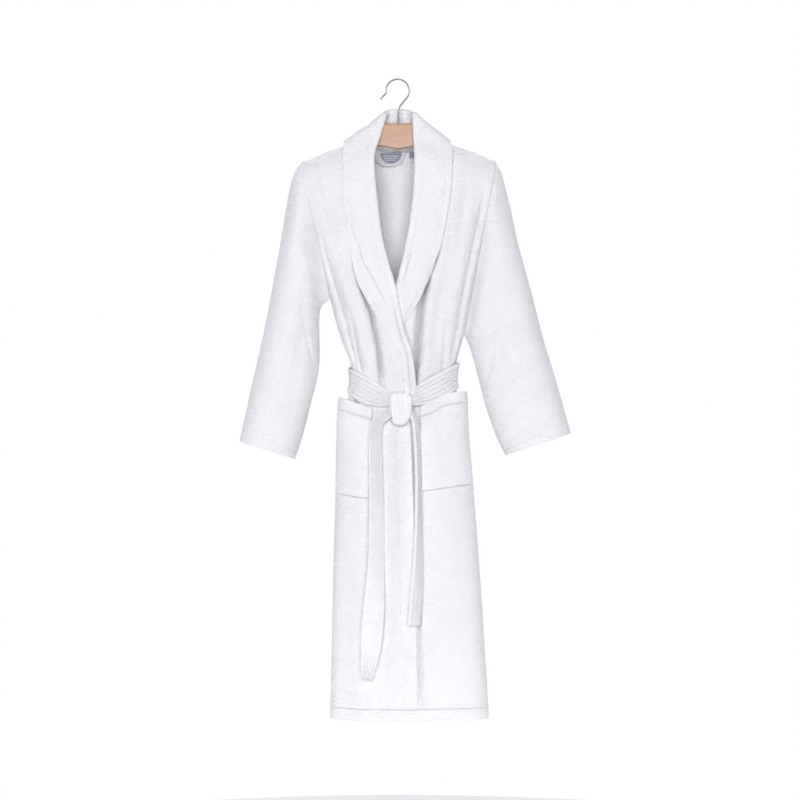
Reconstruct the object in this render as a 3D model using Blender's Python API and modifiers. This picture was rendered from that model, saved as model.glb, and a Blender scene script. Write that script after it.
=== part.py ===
"""Terry bathrobe with a shawl collar, tied with its belt and hung on a wooden hanger.

Metres, +Z up. The origin is the inside top of the hanger hook's bend. The front faces -Y.
"Left" and "right" in the names are the viewer's left and right, seen from the front.
"""
import math

import bmesh
import bpy
import numpy as np
from mathutils import Matrix, Vector

# Finishes: name, colour, roughness and metallic
TERRY = ("white_terry", (0.86, 0.86, 0.90), 0.95, 0.0)
BELTING = ("white_belting", (0.84, 0.84, 0.89), 0.9, 0.0)
TAPE = ("tape", (0.80, 0.79, 0.82), 0.85, 0.0)
LABEL = ("satin", (0.45, 0.45, 0.50), 0.6, 0.0)
WOOD = ("wood", (0.62, 0.40, 0.19), 0.45, 0.0)
STEEL = ("steel", (0.75, 0.75, 0.76), 0.2, 1.0)

# Cloth thicknesses and the gaps between neighbours
CLOTH = 0.004
COLLAR_CLOTH = 0.005
BELT_CLOTH = 0.005
SEAM_GAP = 0.0006
LAYER_GAP = 0.0025
SLEEVE_GAP = 0.0075

# Heights
HEM_Z = -1.326
ROW_HEIGHTS = [HEM_Z, -1.15, -1.00, -0.88, -0.80, -0.74, -0.705, -0.675, -0.65, -0.625, -0.60, -0.575, -0.545,
               -0.51, -0.475, -0.44, -0.40, -0.35, -0.30, -0.255, -0.22, -0.196, -0.180, -0.172]
BACK_NECK_Z = -0.149
TIP_Z = -0.168
SHOULDER_SLOPE = 0.30
SHOULDER_REACH = {-1: 0.200, 1: 0.208}
SHOULDER_FALL = 0.006
RIDGE_SOFTNESS = 0.044

# The straight armhole lines, from the shoulder tip (x, z) to the underarm (x, z)
ARMHOLE = {-1: ((-0.198, -0.1734), (-0.139, -0.452)), 1: ((0.200, -0.1716), (0.134, -0.523))}
ARMHOLE_DEPTH = 0.045
NECK_X = {-1: -0.066, 1: 0.061}

# Body outline (z, x) below the underarms, and half-depths (z, y)
SIDE_LEFT = [(-0.452, -0.139), (-0.500, -0.127), (-0.542, -0.114), (-0.590, -0.094), (-0.627, -0.089),
             (-0.655, -0.096), (-0.680, -0.110), (-0.710, -0.118), (-0.790, -0.125), (-1.000, -0.131),
             (HEM_Z, -0.138)]
SIDE_RIGHT = [(-0.523, 0.134), (-0.567, 0.121), (-0.592, 0.114), (-0.617, 0.109), (-0.645, 0.113),
              (-0.675, 0.130), (-0.705, 0.138), (-0.775, 0.145), (-0.892, 0.155), (-1.083, 0.169),
              (HEM_Z, 0.184)]
FRONT_DEPTH = [(-0.10, 0.058), (-0.30, 0.060), (-0.45, 0.064), (-0.63, 0.054), (-0.72, 0.064),
               (-0.90, 0.070), (HEM_Z, 0.074)]
BACK_DEPTH = [(-0.10, 0.056), (-0.20, 0.052), (-0.32, 0.038), (-0.45, 0.036), (-0.63, 0.038),
              (-0.72, 0.050), (-0.90, 0.060), (HEM_Z, 0.068)]
SECTION_POWER = 2.3
BODY_CENTRE = 0.01

# Collar guide outlines (x, z) on the fronts: the roll line and the outer edge, from the bottom up
ROLL_LEFT = [(0.026, -0.620), (0.022, -0.578), (0.003, -0.517), (-0.012, -0.440), (-0.026, -0.392),
             (-0.041, -0.328), (-0.050, -0.260), (-0.055, -0.207), (-0.055, -0.160)]
EDGE_LEFT = [(0.014, -0.626), (0.008, -0.592), (-0.017, -0.533), (-0.055, -0.463), (-0.082, -0.410),
             (-0.098, -0.344), (-0.109, -0.281), (-0.113, -0.232), (-0.114, -0.190)]
ROLL_RIGHT = [(-0.030, -0.530), (-0.012, -0.480), (0.003, -0.424), (0.015, -0.377), (0.025, -0.328),
              (0.034, -0.271), (0.039, -0.207), (0.039, -0.160)]
EDGE_RIGHT = [(-0.014, -0.548), (0.010, -0.505), (0.036, -0.459), (0.067, -0.406), (0.083, -0.348),
              (0.097, -0.285), (0.106, -0.230), (0.108, -0.188)]
# Collar guides round the neck, as (seam, roll, outer edge) points from front to centre back
NECK_LEFT = [((-0.062, -0.010, -0.1270), (-0.046, -0.018, -0.122), (-0.114, -0.024, -0.152)),
             ((-0.063, 0.0000, -0.1170), (-0.034, -0.003, -0.081), (-0.109, 0.000, -0.1305)),
             ((-0.054, 0.0140, -0.1270), (-0.029, 0.014, -0.073), (-0.100, 0.034, -0.148)),
             ((-0.032, 0.0280, -0.1400), (-0.020, 0.027, -0.068), (-0.064, 0.055, -0.170)),
             ((-0.001, 0.0320, -0.1450), (-0.001, 0.031, -0.0665), (-0.001, 0.060, -0.178))]
NECK_RIGHT = [((0.057, -0.010, -0.1270), (0.038, -0.018, -0.122), (0.1105, -0.024, -0.152)),
              ((0.059, 0.0000, -0.1170), (0.036, -0.003, -0.080), (0.104, 0.000, -0.1290)),
              ((0.052, 0.0140, -0.1270), (0.030, 0.014, -0.073), (0.096, 0.034, -0.148)),
              ((0.030, 0.0280, -0.1400), (0.020, 0.027, -0.068), (0.062, 0.055, -0.170)),
              ((0.001, 0.0320, -0.1450), (0.001, 0.031, -0.0665), (0.001, 0.060, -0.178))]
PANEL_SETBACK = 0.013
COLLAR_LIP = 0.008
ROLL_STAND = 0.002
COLLAR_ROWS = 24

# Front edges (z, x): the outer flap on the viewer's left, and the under flap
OUTER_FLAP = [(-0.634, 0.016), (-0.716, 0.024), (-0.995, 0.034), (HEM_Z, 0.039)]
UNDER_FLAP = [(-0.530, -0.024), (-0.650, -0.050), (-0.800, -0.062), (HEM_Z, -0.066)]
OVERLAP_LIFT = 0.0075
CROSSING_LIFT = 0.0085

# Sleeves: outer and inner lines (x, z) from the armhole to the cuff
SLEEVE_OUTER = {-1: [(-0.198 - SLEEVE_GAP, -0.1734), (-0.222, -0.218), (-0.2436, -0.342), (-0.281, -0.542),
                     (-0.304, -0.642), (-0.327, -0.752)],
                1: [(0.200 + SLEEVE_GAP, -0.1716), (0.2170, -0.218), (0.2457, -0.342), (0.2997, -0.542),
                    (0.329, -0.642), (0.3545, -0.7355)]}
SLEEVE_INNER = {-1: [(-0.139 - SLEEVE_GAP, -0.453), (-0.168, -0.474), (-0.170, -0.560), (-0.187, -0.667),
                     (-0.206, -0.745), (-0.2185, -0.787)],
                1: [(0.134 + SLEEVE_GAP, -0.524), (0.150, -0.550), (0.163, -0.590), (0.192, -0.692),
                    (0.209, -0.7415), (0.2257, -0.778)]}
CUFF_DEPTH = 0.056

# Belt: its turn round the body is 0 at the left seam, 0.5 at the right one
BELT_WIDTH = 0.050
BELT_LINE = [(0.0, -0.6250), (0.05, -0.6285), (0.10, -0.6385), (0.142, -0.6500), (0.1786, -0.6610),
             (0.24, -0.6670), (0.28, -0.6620), (0.341, -0.6450), (0.40, -0.6290), (0.45, -0.6180),
             (0.50, -0.6135), (0.60, -0.6080), (0.75, -0.6040), (0.90, -0.6140), (1.0, -0.6250)]
KNOT_TURN = 0.24
WAIST_GIRTH = 0.62
LOOP_CLOTH = 0.0016
BELT_LOOP_WIDTH = 0.011
BELT_LOOP_REACH = 0.016
BELT_LOOP_STAND = 0.0035
BELT_CLEAR = 0.001
KNOT_CENTRE = (0.005, -0.0900, -0.684)
KNOT_SIZE = (0.042, 0.026, 0.066)
TAIL_PIVOT_Y = -0.086
TAIL_PIVOT_Z = -0.700
LONG_TAIL = [(-0.035, -0.092, -0.700), (-0.044, -0.092, -0.716), (-0.049, -0.092, -0.760),
             (-0.047, -0.094, -0.860), (-0.047, -0.096, -0.960), (-0.050, -0.097, -1.060),
             (-0.057, -0.098, -1.170), (-0.066, -0.098, -1.236)]
LONG_TAIL_WIDTH = [0.026, 0.030, 0.026, 0.026, 0.034, 0.042, 0.036, 0.018]
LONG_TAIL_TURN = [0.0, 0.2, 0.4, 0.4, 0.2, 0.1, 0.0, 0.0]
SHORT_TAIL = [(0.036, -0.094, -0.700), (0.037, -0.094, -0.760), (0.039, -0.096, -0.860),
              (0.038, -0.098, -1.010), (0.033, -0.099, -1.090), (0.030, -0.099, -1.126)]
SHORT_TAIL_WIDTH = [0.018, 0.014, 0.014, 0.020, 0.026, 0.026]
SHORT_TAIL_TURN = [0.9, 0.9, 0.8, 0.6, 0.5, 0.4]
TAIL_ROWS = 22
KNOT_EDGE = 0.009
BELT_ENDS = (0.035, 0.965)

# Back neck: hanging loop, label and size tag
LOOP_CENTRE = (-0.020, 0.0185, -0.152)
LOOP_HALF = 0.032
LOOP_DROP = 0.028
LOOP_WIDTH = 0.005
BACK_LEAN = math.radians(18)
LABEL_CENTRE = (-0.0165, 0.0225, -0.150)
LABEL_HALF = 0.0215
LABEL_DROP = 0.0205
LABEL_THICK = 0.0010
TAG_CENTRE = (0.031, 0.0215, -0.149)
TAG_SIZE = (0.016, 0.011)

# Pockets: side, heights of the mouth's inner and outer corners, of the bottom, and x of the inner edge
POCKETS = {"patch_pocket_left": (-1, -0.690, -0.664, -0.862, -0.060),
           "patch_pocket_right": (1, -0.692, -0.660, -0.848, 0.047)}
POCKET_MOUTH = 0.014

# Hanger and hook
WOOD_HALF = 0.006
WOOD_TOP = -0.0926
WOOD_UNDER = -0.1425
ARM_DROP = 0.013
ARM_TALL = 0.022
ARM_TIP = 0.174
WIRE = 0.0017
HOOK_RADIUS = 0.0225
HOOK_SHIFT = -0.002
HOOK_END = (-0.034, 0, -0.036)
TIP_RADIUS = 0.0024
BORE_DEPTH = 0.030
BORE_GAP = 0.0004


def spline(points, count):
    """Points along a smooth curve through the given points, evenly spaced in parameter."""
    pts = [Vector(p) for p in points]
    padded = [2 * pts[0] - pts[1]] + pts + [2 * pts[-1] - pts[-2]]
    out = []
    for k in range(count):
        u = k / (count - 1) * (len(pts) - 1)
        i = min(int(u), len(pts) - 2)
        f = u - i
        a, b, c, d = padded[i:i + 4]
        out.append(0.5 * ((2 * b) + (c - a) * f + (2 * a - 5 * b + 4 * c - d) * f ** 2
                          + (3 * b - a - 3 * c + d) * f ** 3))
    return out


def at(table, z):
    """Value of a (z, value) table at height z."""
    heights = [row[0] for row in table][::-1]
    values = [row[1] for row in table][::-1]
    return float(np.interp(z, heights, values))


def smooth_step(value, low, high):
    t = min(1.0, max(0.0, (value - low) / (high - low)))
    return t * t * (3 - 2 * t)


def shoulder_z(x):
    """The shoulder ridge: straight, with a softer fall towards the tip."""
    side = -1 if x < 0 else 1
    fall = SHOULDER_FALL * smooth_step(abs(x), 0.14, abs(ARMHOLE[side][0][0]))
    return TIP_Z + SHOULDER_SLOPE * (SHOULDER_REACH[side] - abs(x)) - fall


def side_x(side, z):
    """The body's side: the armhole line above the underarm and the side seam below it."""
    tip, underarm = ARMHOLE[side]
    if z <= underarm[1]:
        return at(SIDE_LEFT if side < 0 else SIDE_RIGHT, z)
    f = min(1.0, (tip[1] - z) / (tip[1] - underarm[1])) if z < tip[1] else 0.0
    return tip[0] + (underarm[0] - tip[0]) * f


def armhole_y(side, z):
    """Half of the armhole's opening at height z."""
    tip, underarm = ARMHOLE[side]
    if not underarm[1] < z < tip[1]:
        return 0.0
    return ARMHOLE_DEPTH * math.sin(math.pi * (tip[1] - z) / (tip[1] - underarm[1]))


def depth_at(table, x, z):
    """Distance from the side-seam plane to the inside of the cloth at (x, z)."""
    side = -1 if x < BODY_CENTRE else 1
    edge = side_x(side, z)
    inward = min(1.0, max(0.0, (x - edge) / (BODY_CENTRE - edge)))
    rise = (1 - (1 - inward) ** SECTION_POWER) ** (1 / SECTION_POWER)
    below_ridge = max(0.0, shoulder_z(x) - z)
    full = at(table, z) * (1 - math.exp(-below_ridge / RIDGE_SOFTNESS))
    open_half = armhole_y(side, z)
    return SEAM_GAP + open_half + (full - open_half) * rise


def front_lift(x, z):
    """How far the outer flap stands in front of the under flap and its lapel."""
    lift = OVERLAP_LIFT * smooth_step(x, -0.115, -0.070) * smooth_step(z, -0.34, -0.47)
    crossing = smooth_step(x, -0.090, -0.035) * smooth_step(z, -0.36, -0.46) * smooth_step(z, -0.66, -0.56)
    return lift + CROSSING_LIFT * crossing


def front_point(x, z, offset, outer=False):
    """A point offset outward from the inside of the front's cloth."""
    def surface(px, pz):
        return depth_at(FRONT_DEPTH, px, pz) + (front_lift(px, pz) if outer else 0.0)
    step = 0.002
    slope_x = (surface(x + step, z) - surface(x - step, z)) / (2 * step)
    slope_z = (surface(x, z + step) - surface(x, z - step)) / (2 * step)
    normal = Vector((-slope_x, -1.0, -slope_z)).normalized()
    return Vector((x, -surface(x, z), z)) + normal * offset


def finish(obj, mat):
    """Give a node its own material from a (name, colour, roughness, metallic) finish."""
    slot, colour, roughness, metallic = mat
    painted = bpy.data.materials.new(obj.name + "_" + slot)
    painted.use_nodes = True
    shader = painted.node_tree.nodes["Principled BSDF"]
    shader.inputs["Base Color"].default_value = (*colour, 1.0)
    shader.inputs["Roughness"].default_value = roughness
    shader.inputs["Metallic"].default_value = metallic
    painted.diffuse_color = (*colour, 1.0)
    obj.data.materials.append(painted)


def add_object(name, data, mat):
    obj = bpy.data.objects.new(name, data)
    finish(obj, mat)
    parts.objects.link(obj)
    return obj


def add_sheet(name, rows, thickness, mat, closed=False, origin=(0, 0, 0)):
    """A grid of rows of points as cloth, thickened on its outer side."""
    rows = [[Vector(p) - Vector(origin) for p in row] for row in rows]
    width = len(rows[0])
    span = width if closed else width - 1
    faces = []
    for i in range(len(rows) - 1):
        for j in range(span):
            a, b = i * width + j, i * width + (j + 1) % width
            faces.append((a, b, b + width, a + width))
    mesh = bpy.data.meshes.new(name)
    mesh.from_pydata([p for row in rows for p in row], [], faces)
    mesh.update()
    obj = add_object(name, mesh, mat)
    obj.location = origin
    shell = obj.modifiers.new("Cloth", "SOLIDIFY")
    shell.thickness = thickness
    shell.offset = 1.0
    mesh.shade_smooth()
    return obj


def panel_rows(columns, left, right, top, depth):
    """Rows from hem to top: columns crowd towards the side seams, where the cloth turns."""
    grid = []
    for height in ROW_HEIGHTS + [TIP_Z]:
        row = []
        for f in columns:
            x_top = left(0.0) + (right(0.0) - left(0.0)) * f
            z = HEM_Z + (top(x_top) - HEM_Z) * (height - HEM_Z) / (TIP_Z - HEM_Z)
            x = left(z) + (right(z) - left(z)) * f
            row.append(depth(x, z))
        grid.append(row)
    return grid


def back_panel():
    def top(x):
        side = -1 if x < 0 else 1
        neck = NECK_X[side]
        if abs(x) >= abs(neck):
            return shoulder_z(x)
        f = x / neck
        return BACK_NECK_Z + (shoulder_z(neck) - BACK_NECK_Z) * f ** 4

    def point(x, z):
        return (x, depth_at(BACK_DEPTH, x, z), z)
    columns = [0.5 - 0.5 * math.cos(math.pi * k / 18) for k in range(19)]
    rows = panel_rows(columns, lambda z: side_x(-1, z), lambda z: side_x(1, z), top, point)
    add_sheet("back_panel", [row[::-1] for row in rows], CLOTH, TERRY)


def inner_edge(outline, flap, shift):
    """Front edge x at height z: set back from the roll line above, the flap's edge below."""
    def edge(z):
        if z <= flap[0][0]:
            return at(flap, z)
        heights = [p[1] for p in outline]
        return float(np.interp(z, heights, [p[0] for p in outline])) + shift
    return edge


def front_panel(name, side, outline, flap):
    outer = side < 0
    upper = outline + [(NECK_X[side] + side * PANEL_SETBACK, -0.120)]
    edge = inner_edge(upper, flap, side * PANEL_SETBACK)

    def inner(z):
        return NECK_X[side] if z > -0.130 else edge(z)

    def point(x, z):
        return front_point(x, z, 0.0, outer)
    columns = [1 - math.cos(0.5 * math.pi * k / 10) for k in range(11)]
    rows = panel_rows(columns, lambda z: side_x(side, z), inner, shoulder_z, point)
    add_sheet(name, rows if outer else [row[::-1] for row in rows], CLOTH, TERRY)


def collar_rows(side, roll, edge, neck):
    """Rows of (seam, roll, outer edge) points that fold over the roll line."""
    outer = side < 0
    seams, rolls, edges = [], [], []
    base = CLOTH + LAYER_GAP
    for (rx, rz), (ex, ez) in zip(roll, edge):
        outward = Vector((ex - rx, ez - rz)).normalized()
        lip = Vector((rx, rz)) + outward * COLLAR_LIP
        seams.append(front_point(lip[0], lip[1], base - 0.0015, outer))
        rolls.append(front_point(rx, rz, base, outer))
        edges.append(front_point(ex, ez, base, outer))
    seams += [Vector(p[0]) for p in neck]
    rolls += [Vector(p[1]) for p in neck]
    edges += [Vector(p[2]) for p in neck]
    rows = []
    guides = [spline(line, COLLAR_ROWS) for line in (seams, rolls, edges)]
    for s, r, e in zip(*guides):
        middle = (r + e) / 2
        if middle.y < -0.02:
            middle = front_point(middle.x, middle.z, base, outer)
        tip = r + (r - e).normalized() * ROLL_STAND
        rows.append([s, tip, r + (e - r) * 0.06, r + (middle - r) * 0.5, middle, (middle + e) / 2, e])
    for row in rows:
        if row[3].y < -0.02:
            row[3] = front_point(row[3].x, row[3].z, base, outer)
            row[5] = front_point(row[5].x, row[5].z, base, outer)
    return rows


def shawl_collar():
    left = collar_rows(-1, ROLL_LEFT, EDGE_LEFT, NECK_LEFT)
    right = collar_rows(1, ROLL_RIGHT, EDGE_RIGHT, NECK_RIGHT)
    add_sheet("shawl_collar_left", [row[::-1] for row in left], COLLAR_CLOTH, TERRY)
    add_sheet("shawl_collar_right", right, COLLAR_CLOTH, TERRY)


def sleeve(name, side):
    """A tube lofted from the tall armhole to the round cuff."""
    rings, around = 12, 20
    outer = spline([(x, 0, z) for x, z in SLEEVE_OUTER[side]], rings)
    inner = spline([(x, 0, z) for x, z in SLEEVE_INNER[side]], rings)
    rows = []
    for i, (o, n) in enumerate(zip(outer, inner)):
        morph = smooth_step(i / (rings - 1), 0.0, 0.5)
        depth = ARMHOLE_DEPTH + (CUFF_DEPTH - ARMHOLE_DEPTH) * i / (rings - 1)
        row = []
        for k in range(around):
            angle = 2 * math.pi * k / around
            down = (1 - math.cos(angle)) / 2
            lens = math.copysign(math.sin(math.pi * down), math.sin(angle))
            y = -depth * (lens + (math.sin(angle) - lens) * morph) - SEAM_GAP * (1 if angle < math.pi else -1)
            point = o + (n - o) * down
            row.append((point.x, y, point.z))
        rows.append(row if side < 0 else row[::-1])
    pivot = (ARMHOLE[side][0][0], 0.0, TIP_Z + CLOTH)
    add_sheet(name, rows[::-1], CLOTH, TERRY, closed=True, origin=pivot)


def pocket(name):
    """A patch that stands off the skirt at its mouth and lies close at its sides and bottom."""
    side, top_inner, top_outer, bottom, inner = POCKETS[name]
    outer = side < 0
    columns, rows = 8, 7
    grid = []
    for i in range(rows + 1):
        v = i / rows
        row = []
        for j in range(columns + 1):
            u = j / columns
            z = bottom + (top_inner + (top_outer - top_inner) * u - bottom) * v
            seam = side_x(side, z) - side * 0.004
            x = inner + (seam - inner) * math.sin(0.5 * math.pi * u)
            gape = POCKET_MOUTH * math.sin(math.pi * u) ** 0.7 * smooth_step(v, 0.0, 0.75)
            row.append(front_point(x, z, CLOTH + LAYER_GAP + gape, outer))
        grid.append(row)
    add_sheet(name, grid if side > 0 else [row[::-1] for row in grid], CLOTH, TERRY)


def ring_point(turn, z, offset):
    """A point outside the closed body section: turn 0 is the left seam, 0.5 the right one."""
    left, right = side_x(-1, z), side_x(1, z)

    def raw(t):
        t = t % 1.0
        f = (1 - math.cos(2 * math.pi * t)) / 2
        x = left + (right - left) * f
        if t < 0.5:
            return Vector((x, -depth_at(FRONT_DEPTH, x, z) - front_lift(x, z), z))
        return Vector((x, depth_at(BACK_DEPTH, x, z), z))
    tangent = raw(turn + 0.006) - raw(turn - 0.006)
    normal = Vector((tangent.y, -tangent.x, 0)).normalized()
    return raw(turn) + normal * offset


def belt_height(turn):
    """Height of the belt's centre: lowest at the knot, highest at the back."""
    turns = [row[0] for row in BELT_LINE]
    heights = [row[1] for row in BELT_LINE]
    near = [float(np.interp((turn + shift) % 1.0, turns, heights)) for shift in (-0.02, 0.0, 0.02)]
    return sum(near) / len(near)


def belt_strip(start, end, columns, clear):
    """Rows of points across the belt's width, along the waist from one turn to another."""
    rows = []
    for k in range(columns + 1):
        turn = start + (end - start) * k / columns
        here = ring_point(turn, belt_height(turn), clear)
        ahead = ring_point(turn + 0.01, belt_height(turn + 0.01), clear)
        along = (ahead - here).normalized()
        rise = math.sqrt(max(0.0, 1 - along.z ** 2))
        row = []
        for w in (-0.5, 0.0, 0.5):
            slide = -along.z * w * BELT_WIDTH / WAIST_GIRTH
            z = belt_height(turn) + w * BELT_WIDTH * rise
            row.append(ring_point(turn + slide, z, clear))
        rows.append(row)
    return rows


def belt():
    clear = CLOTH + LAYER_GAP + BELT_CLEAR
    rows = belt_strip(KNOT_TURN + BELT_ENDS[0], KNOT_TURN + BELT_ENDS[1], 36, clear)
    add_sheet("belt_wrap", [row[::-1] for row in rows], BELT_CLOTH, BELTING)
    rounded_box("belt_knot", KNOT_CENTRE, KNOT_SIZE, BELTING, KNOT_EDGE)


def belt_tail(name, route, widths, turns):
    """A strip hanging from the knot: its route down, its width and how far it is turned edge on."""
    path = spline(route, TAIL_ROWS)
    wide = spline([(w, 0, 0) for w in widths], TAIL_ROWS)
    spin = spline([(t, 0, 0) for t in turns], TAIL_ROWS)
    rows = []
    for p, w, t in zip(path, wide, spin):
        across = Vector((math.cos(t.x), math.sin(t.x), 0)) * w.x / 2
        rows.append([p - across, p, p + across])
    pivot = Vector((KNOT_CENTRE[0], TAIL_PIVOT_Y, TAIL_PIVOT_Z))
    add_sheet(name, rows[::-1], BELT_CLOTH, BELTING, origin=pivot)


def belt_loop(name, turn):
    """A narrow upright strip at the side seam that the belt passes through."""
    rows = []
    base = CLOTH + LAYER_GAP
    centre = belt_height(turn)
    reach = BELT_WIDTH / 2 + BELT_LOOP_REACH
    for k in range(9):
        f = -1 + k / 4
        stand = base + (BELT_CLOTH + BELT_LOOP_STAND) * smooth_step(1 - abs(f), 0.0, 0.32)
        z = centre + f * reach
        rows.append([ring_point(turn + w * BELT_LOOP_WIDTH, z, stand) for w in (-0.5, 0.5)])
    add_sheet(name, rows, LOOP_CLOTH, BELTING)


def hanging_loop():
    """A folded tape whose two ends are sewn at the back neck seam."""
    rows = []
    for k in range(17):
        angle = math.pi * k / 16
        x = LOOP_CENTRE[0] - LOOP_HALF * math.cos(angle)
        z = LOOP_CENTRE[2] - LOOP_DROP * math.sin(angle) ** 0.8
        inward = Vector((math.cos(angle) * 0.6, 0, 0.8 * math.sin(angle) + 0.25)).normalized() * LOOP_WIDTH
        here = Vector((x, LOOP_CENTRE[1] + (LOOP_CENTRE[2] - z) * math.sin(BACK_LEAN), z))
        rows.append([here, here + inward])
    add_sheet("hanging_loop", rows, LOOP_CLOTH, TAPE, origin=LOOP_CENTRE)


def flat_outline(name, points, thickness, mat, centre, lean=0.0):
    """A flat piece cut to an outline of (x, z) points, facing the front."""
    curve = bpy.data.curves.new(name, "CURVE")
    curve.dimensions = "2D"
    curve.fill_mode = "BOTH"
    curve.extrude = thickness / 2
    line = curve.splines.new("POLY")
    line.points.add(len(points) - 1)
    for point, (x, z) in zip(line.points, points):
        point.co = (x, z, 0, 1)
    line.use_cyclic_u = True
    obj = add_object(name, curve, mat)
    obj.location = centre
    obj.rotation_euler = (math.radians(90) + lean, 0, 0)
    return obj


def labels():
    arc = [(LABEL_HALF * math.cos(a), LABEL_DROP * math.sin(a))
           for a in (math.radians(-180 + 12 * k) for k in range(16))]
    flat_outline("neck_label", arc, LABEL_THICK, LABEL, LABEL_CENTRE, BACK_LEAN)
    wide, tall = TAG_SIZE
    corners = [(-wide / 2, 0), (-wide / 2, -tall), (wide / 2, -tall), (wide / 2, 0)]
    flat_outline("size_tag", corners, LABEL_THICK, LABEL, TAG_CENTRE, BACK_LEAN)


def rounded_box(name, centre, size, mat, bevel):
    bpy.ops.mesh.primitive_cube_add(size=1, location=centre)
    obj = bpy.context.object
    obj.name = name
    obj.data.transform(Matrix.Diagonal((*size, 1.0)))
    finish(obj, mat)
    move_to(obj, parts)
    edge = obj.modifiers.new("Edge", "BEVEL")
    edge.width = bevel
    edge.segments = 2
    obj.data.shade_smooth()
    return obj


def hanger():
    """The wooden hanger: raised neck, sloping arms, arched underside, and a bore for the hook's shank."""
    top = [(0.033, WOOD_TOP), (0.036, WOOD_TOP - 0.006), (0.056, shoulder_z(0.056) - ARM_DROP)]
    top += [(x, shoulder_z(x) - ARM_DROP) for x in (0.10, 0.14, ARM_TIP - 0.006)]
    end = shoulder_z(ARM_TIP) - ARM_DROP
    under = [(ARM_TIP, end - 0.006), (ARM_TIP - 0.002, end - ARM_TALL), (0.14, -0.182), (0.10, -0.164)]
    under += [(0.065, -0.148), (0.040, WOOD_UNDER + 0.008)]
    half = top + under
    outline = half + [(0, WOOD_UNDER)] + [(-x, z) for x, z in half[::-1]]
    board = flat_outline("hanger_body", outline, 2 * WOOD_HALF, WOOD, (0, 0, 0))
    body = as_mesh(board, "hanger_body")
    bpy.ops.mesh.primitive_cylinder_add(vertices=16, radius=WIRE + BORE_GAP, depth=2 * BORE_DEPTH,
                                        location=(0, 0, WOOD_TOP))
    drill = bpy.context.object
    drill.name = "shank_drill"
    move_to(drill, cutters)
    drill.hide_render = True
    drill.display_type = "WIRE"
    bore = body.modifiers.new("Bore", "BOOLEAN")
    bore.object = drill
    bore.solver = "EXACT"


def as_mesh(curve_object, name):
    """The curve's evaluated shape as a mesh object with its caps welded."""
    bpy.context.view_layer.update()
    depsgraph = bpy.context.evaluated_depsgraph_get()
    mesh = bpy.data.meshes.new_from_object(curve_object.evaluated_get(depsgraph))
    mesh.name = name
    curve_object.name = name + "_outline"
    shape = bmesh.new()
    shape.from_mesh(mesh)
    bmesh.ops.remove_doubles(shape, verts=shape.verts, dist=0.00001)
    shape.to_mesh(mesh)
    shape.free()
    obj = bpy.data.objects.new(name, mesh)
    obj.matrix_world = curve_object.matrix_world
    parts.objects.link(obj)
    bpy.data.objects.remove(curve_object, do_unlink=True)
    return obj


def move_to(obj, collection):
    for old_home in list(obj.users_collection):
        old_home.objects.unlink(obj)
    collection.objects.link(obj)


def wire(name, points, radius, mat):
    curve = bpy.data.curves.new(name, "CURVE")
    curve.dimensions = "3D"
    curve.bevel_depth = radius
    curve.bevel_resolution = 2
    curve.use_fill_caps = True
    line = curve.splines.new("POLY")
    line.points.add(len(points) - 1)
    for point, place in zip(line.points, points):
        point.co = (*place, 1)
    return add_object(name, curve, mat)


def hook():
    """The wire runs up the shank, round the bend and out to a turned-up point."""
    centre = Vector((HOOK_SHIFT, 0, -HOOK_RADIUS))
    route = [(0, 0, WOOD_TOP - BORE_DEPTH + 0.002), (0, 0, -0.075), (0, 0, -0.064), (0.004, 0, -0.053)]
    for k in range(13):
        angle = math.radians(-32 + 18.5 * k)
        route.append(centre + Vector((math.cos(angle), 0, math.sin(angle))) * (HOOK_RADIUS + WIRE))
    route.append(Vector(HOOK_END))
    points = spline(route, 40)
    wire("hanger_hook", points, WIRE, STEEL)
    outward = (points[-1] - points[-2]).normalized()
    bpy.ops.mesh.primitive_uv_sphere_add(segments=16, ring_count=8, radius=TIP_RADIUS,
                                         location=points[-1] + outward * (TIP_RADIUS + SEAM_GAP))
    tip = bpy.context.object
    tip.name = "hook_tip"
    finish(tip, STEEL)
    tip.data.shade_smooth()
    move_to(tip, parts)


def hang_on_frame():
    """Everything but the hook turns about its shank, so it rides on an empty on that axis."""
    robe = bpy.data.objects.new("robe_frame", None)
    for obj in list(parts.objects):
        if not obj.name.startswith("hook_") and obj.name != "hanger_hook":
            obj.parent = robe
    parts.objects.link(robe)


# Scene
for old in list(bpy.data.objects):
    bpy.data.objects.remove(old, do_unlink=True)
parts = bpy.data.collections.new("bathrobe")
cutters = bpy.data.collections.new("cutters")
bpy.context.scene.collection.children.link(parts)
bpy.context.scene.collection.children.link(cutters)
back_panel()
front_panel("front_panel_left", -1, ROLL_LEFT, OUTER_FLAP)
front_panel("front_panel_right", 1, ROLL_RIGHT, UNDER_FLAP)
shawl_collar()
sleeve("sleeve_left", -1)
sleeve("sleeve_right", 1)
pocket("patch_pocket_left")
pocket("patch_pocket_right")
belt()
belt_tail("belt_tail_long", LONG_TAIL, LONG_TAIL_WIDTH, LONG_TAIL_TURN)
belt_tail("belt_tail_short", SHORT_TAIL, SHORT_TAIL_WIDTH, SHORT_TAIL_TURN)
belt_loop("belt_loop_left", 0.0)
belt_loop("belt_loop_right", 0.5)
hanging_loop()
labels()
hanger()
hook()
hang_on_frame()
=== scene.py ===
"""Looks for the terry bathrobe on its hanger: draped cloth, stitching, knot, wood and wire."""
import math

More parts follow.
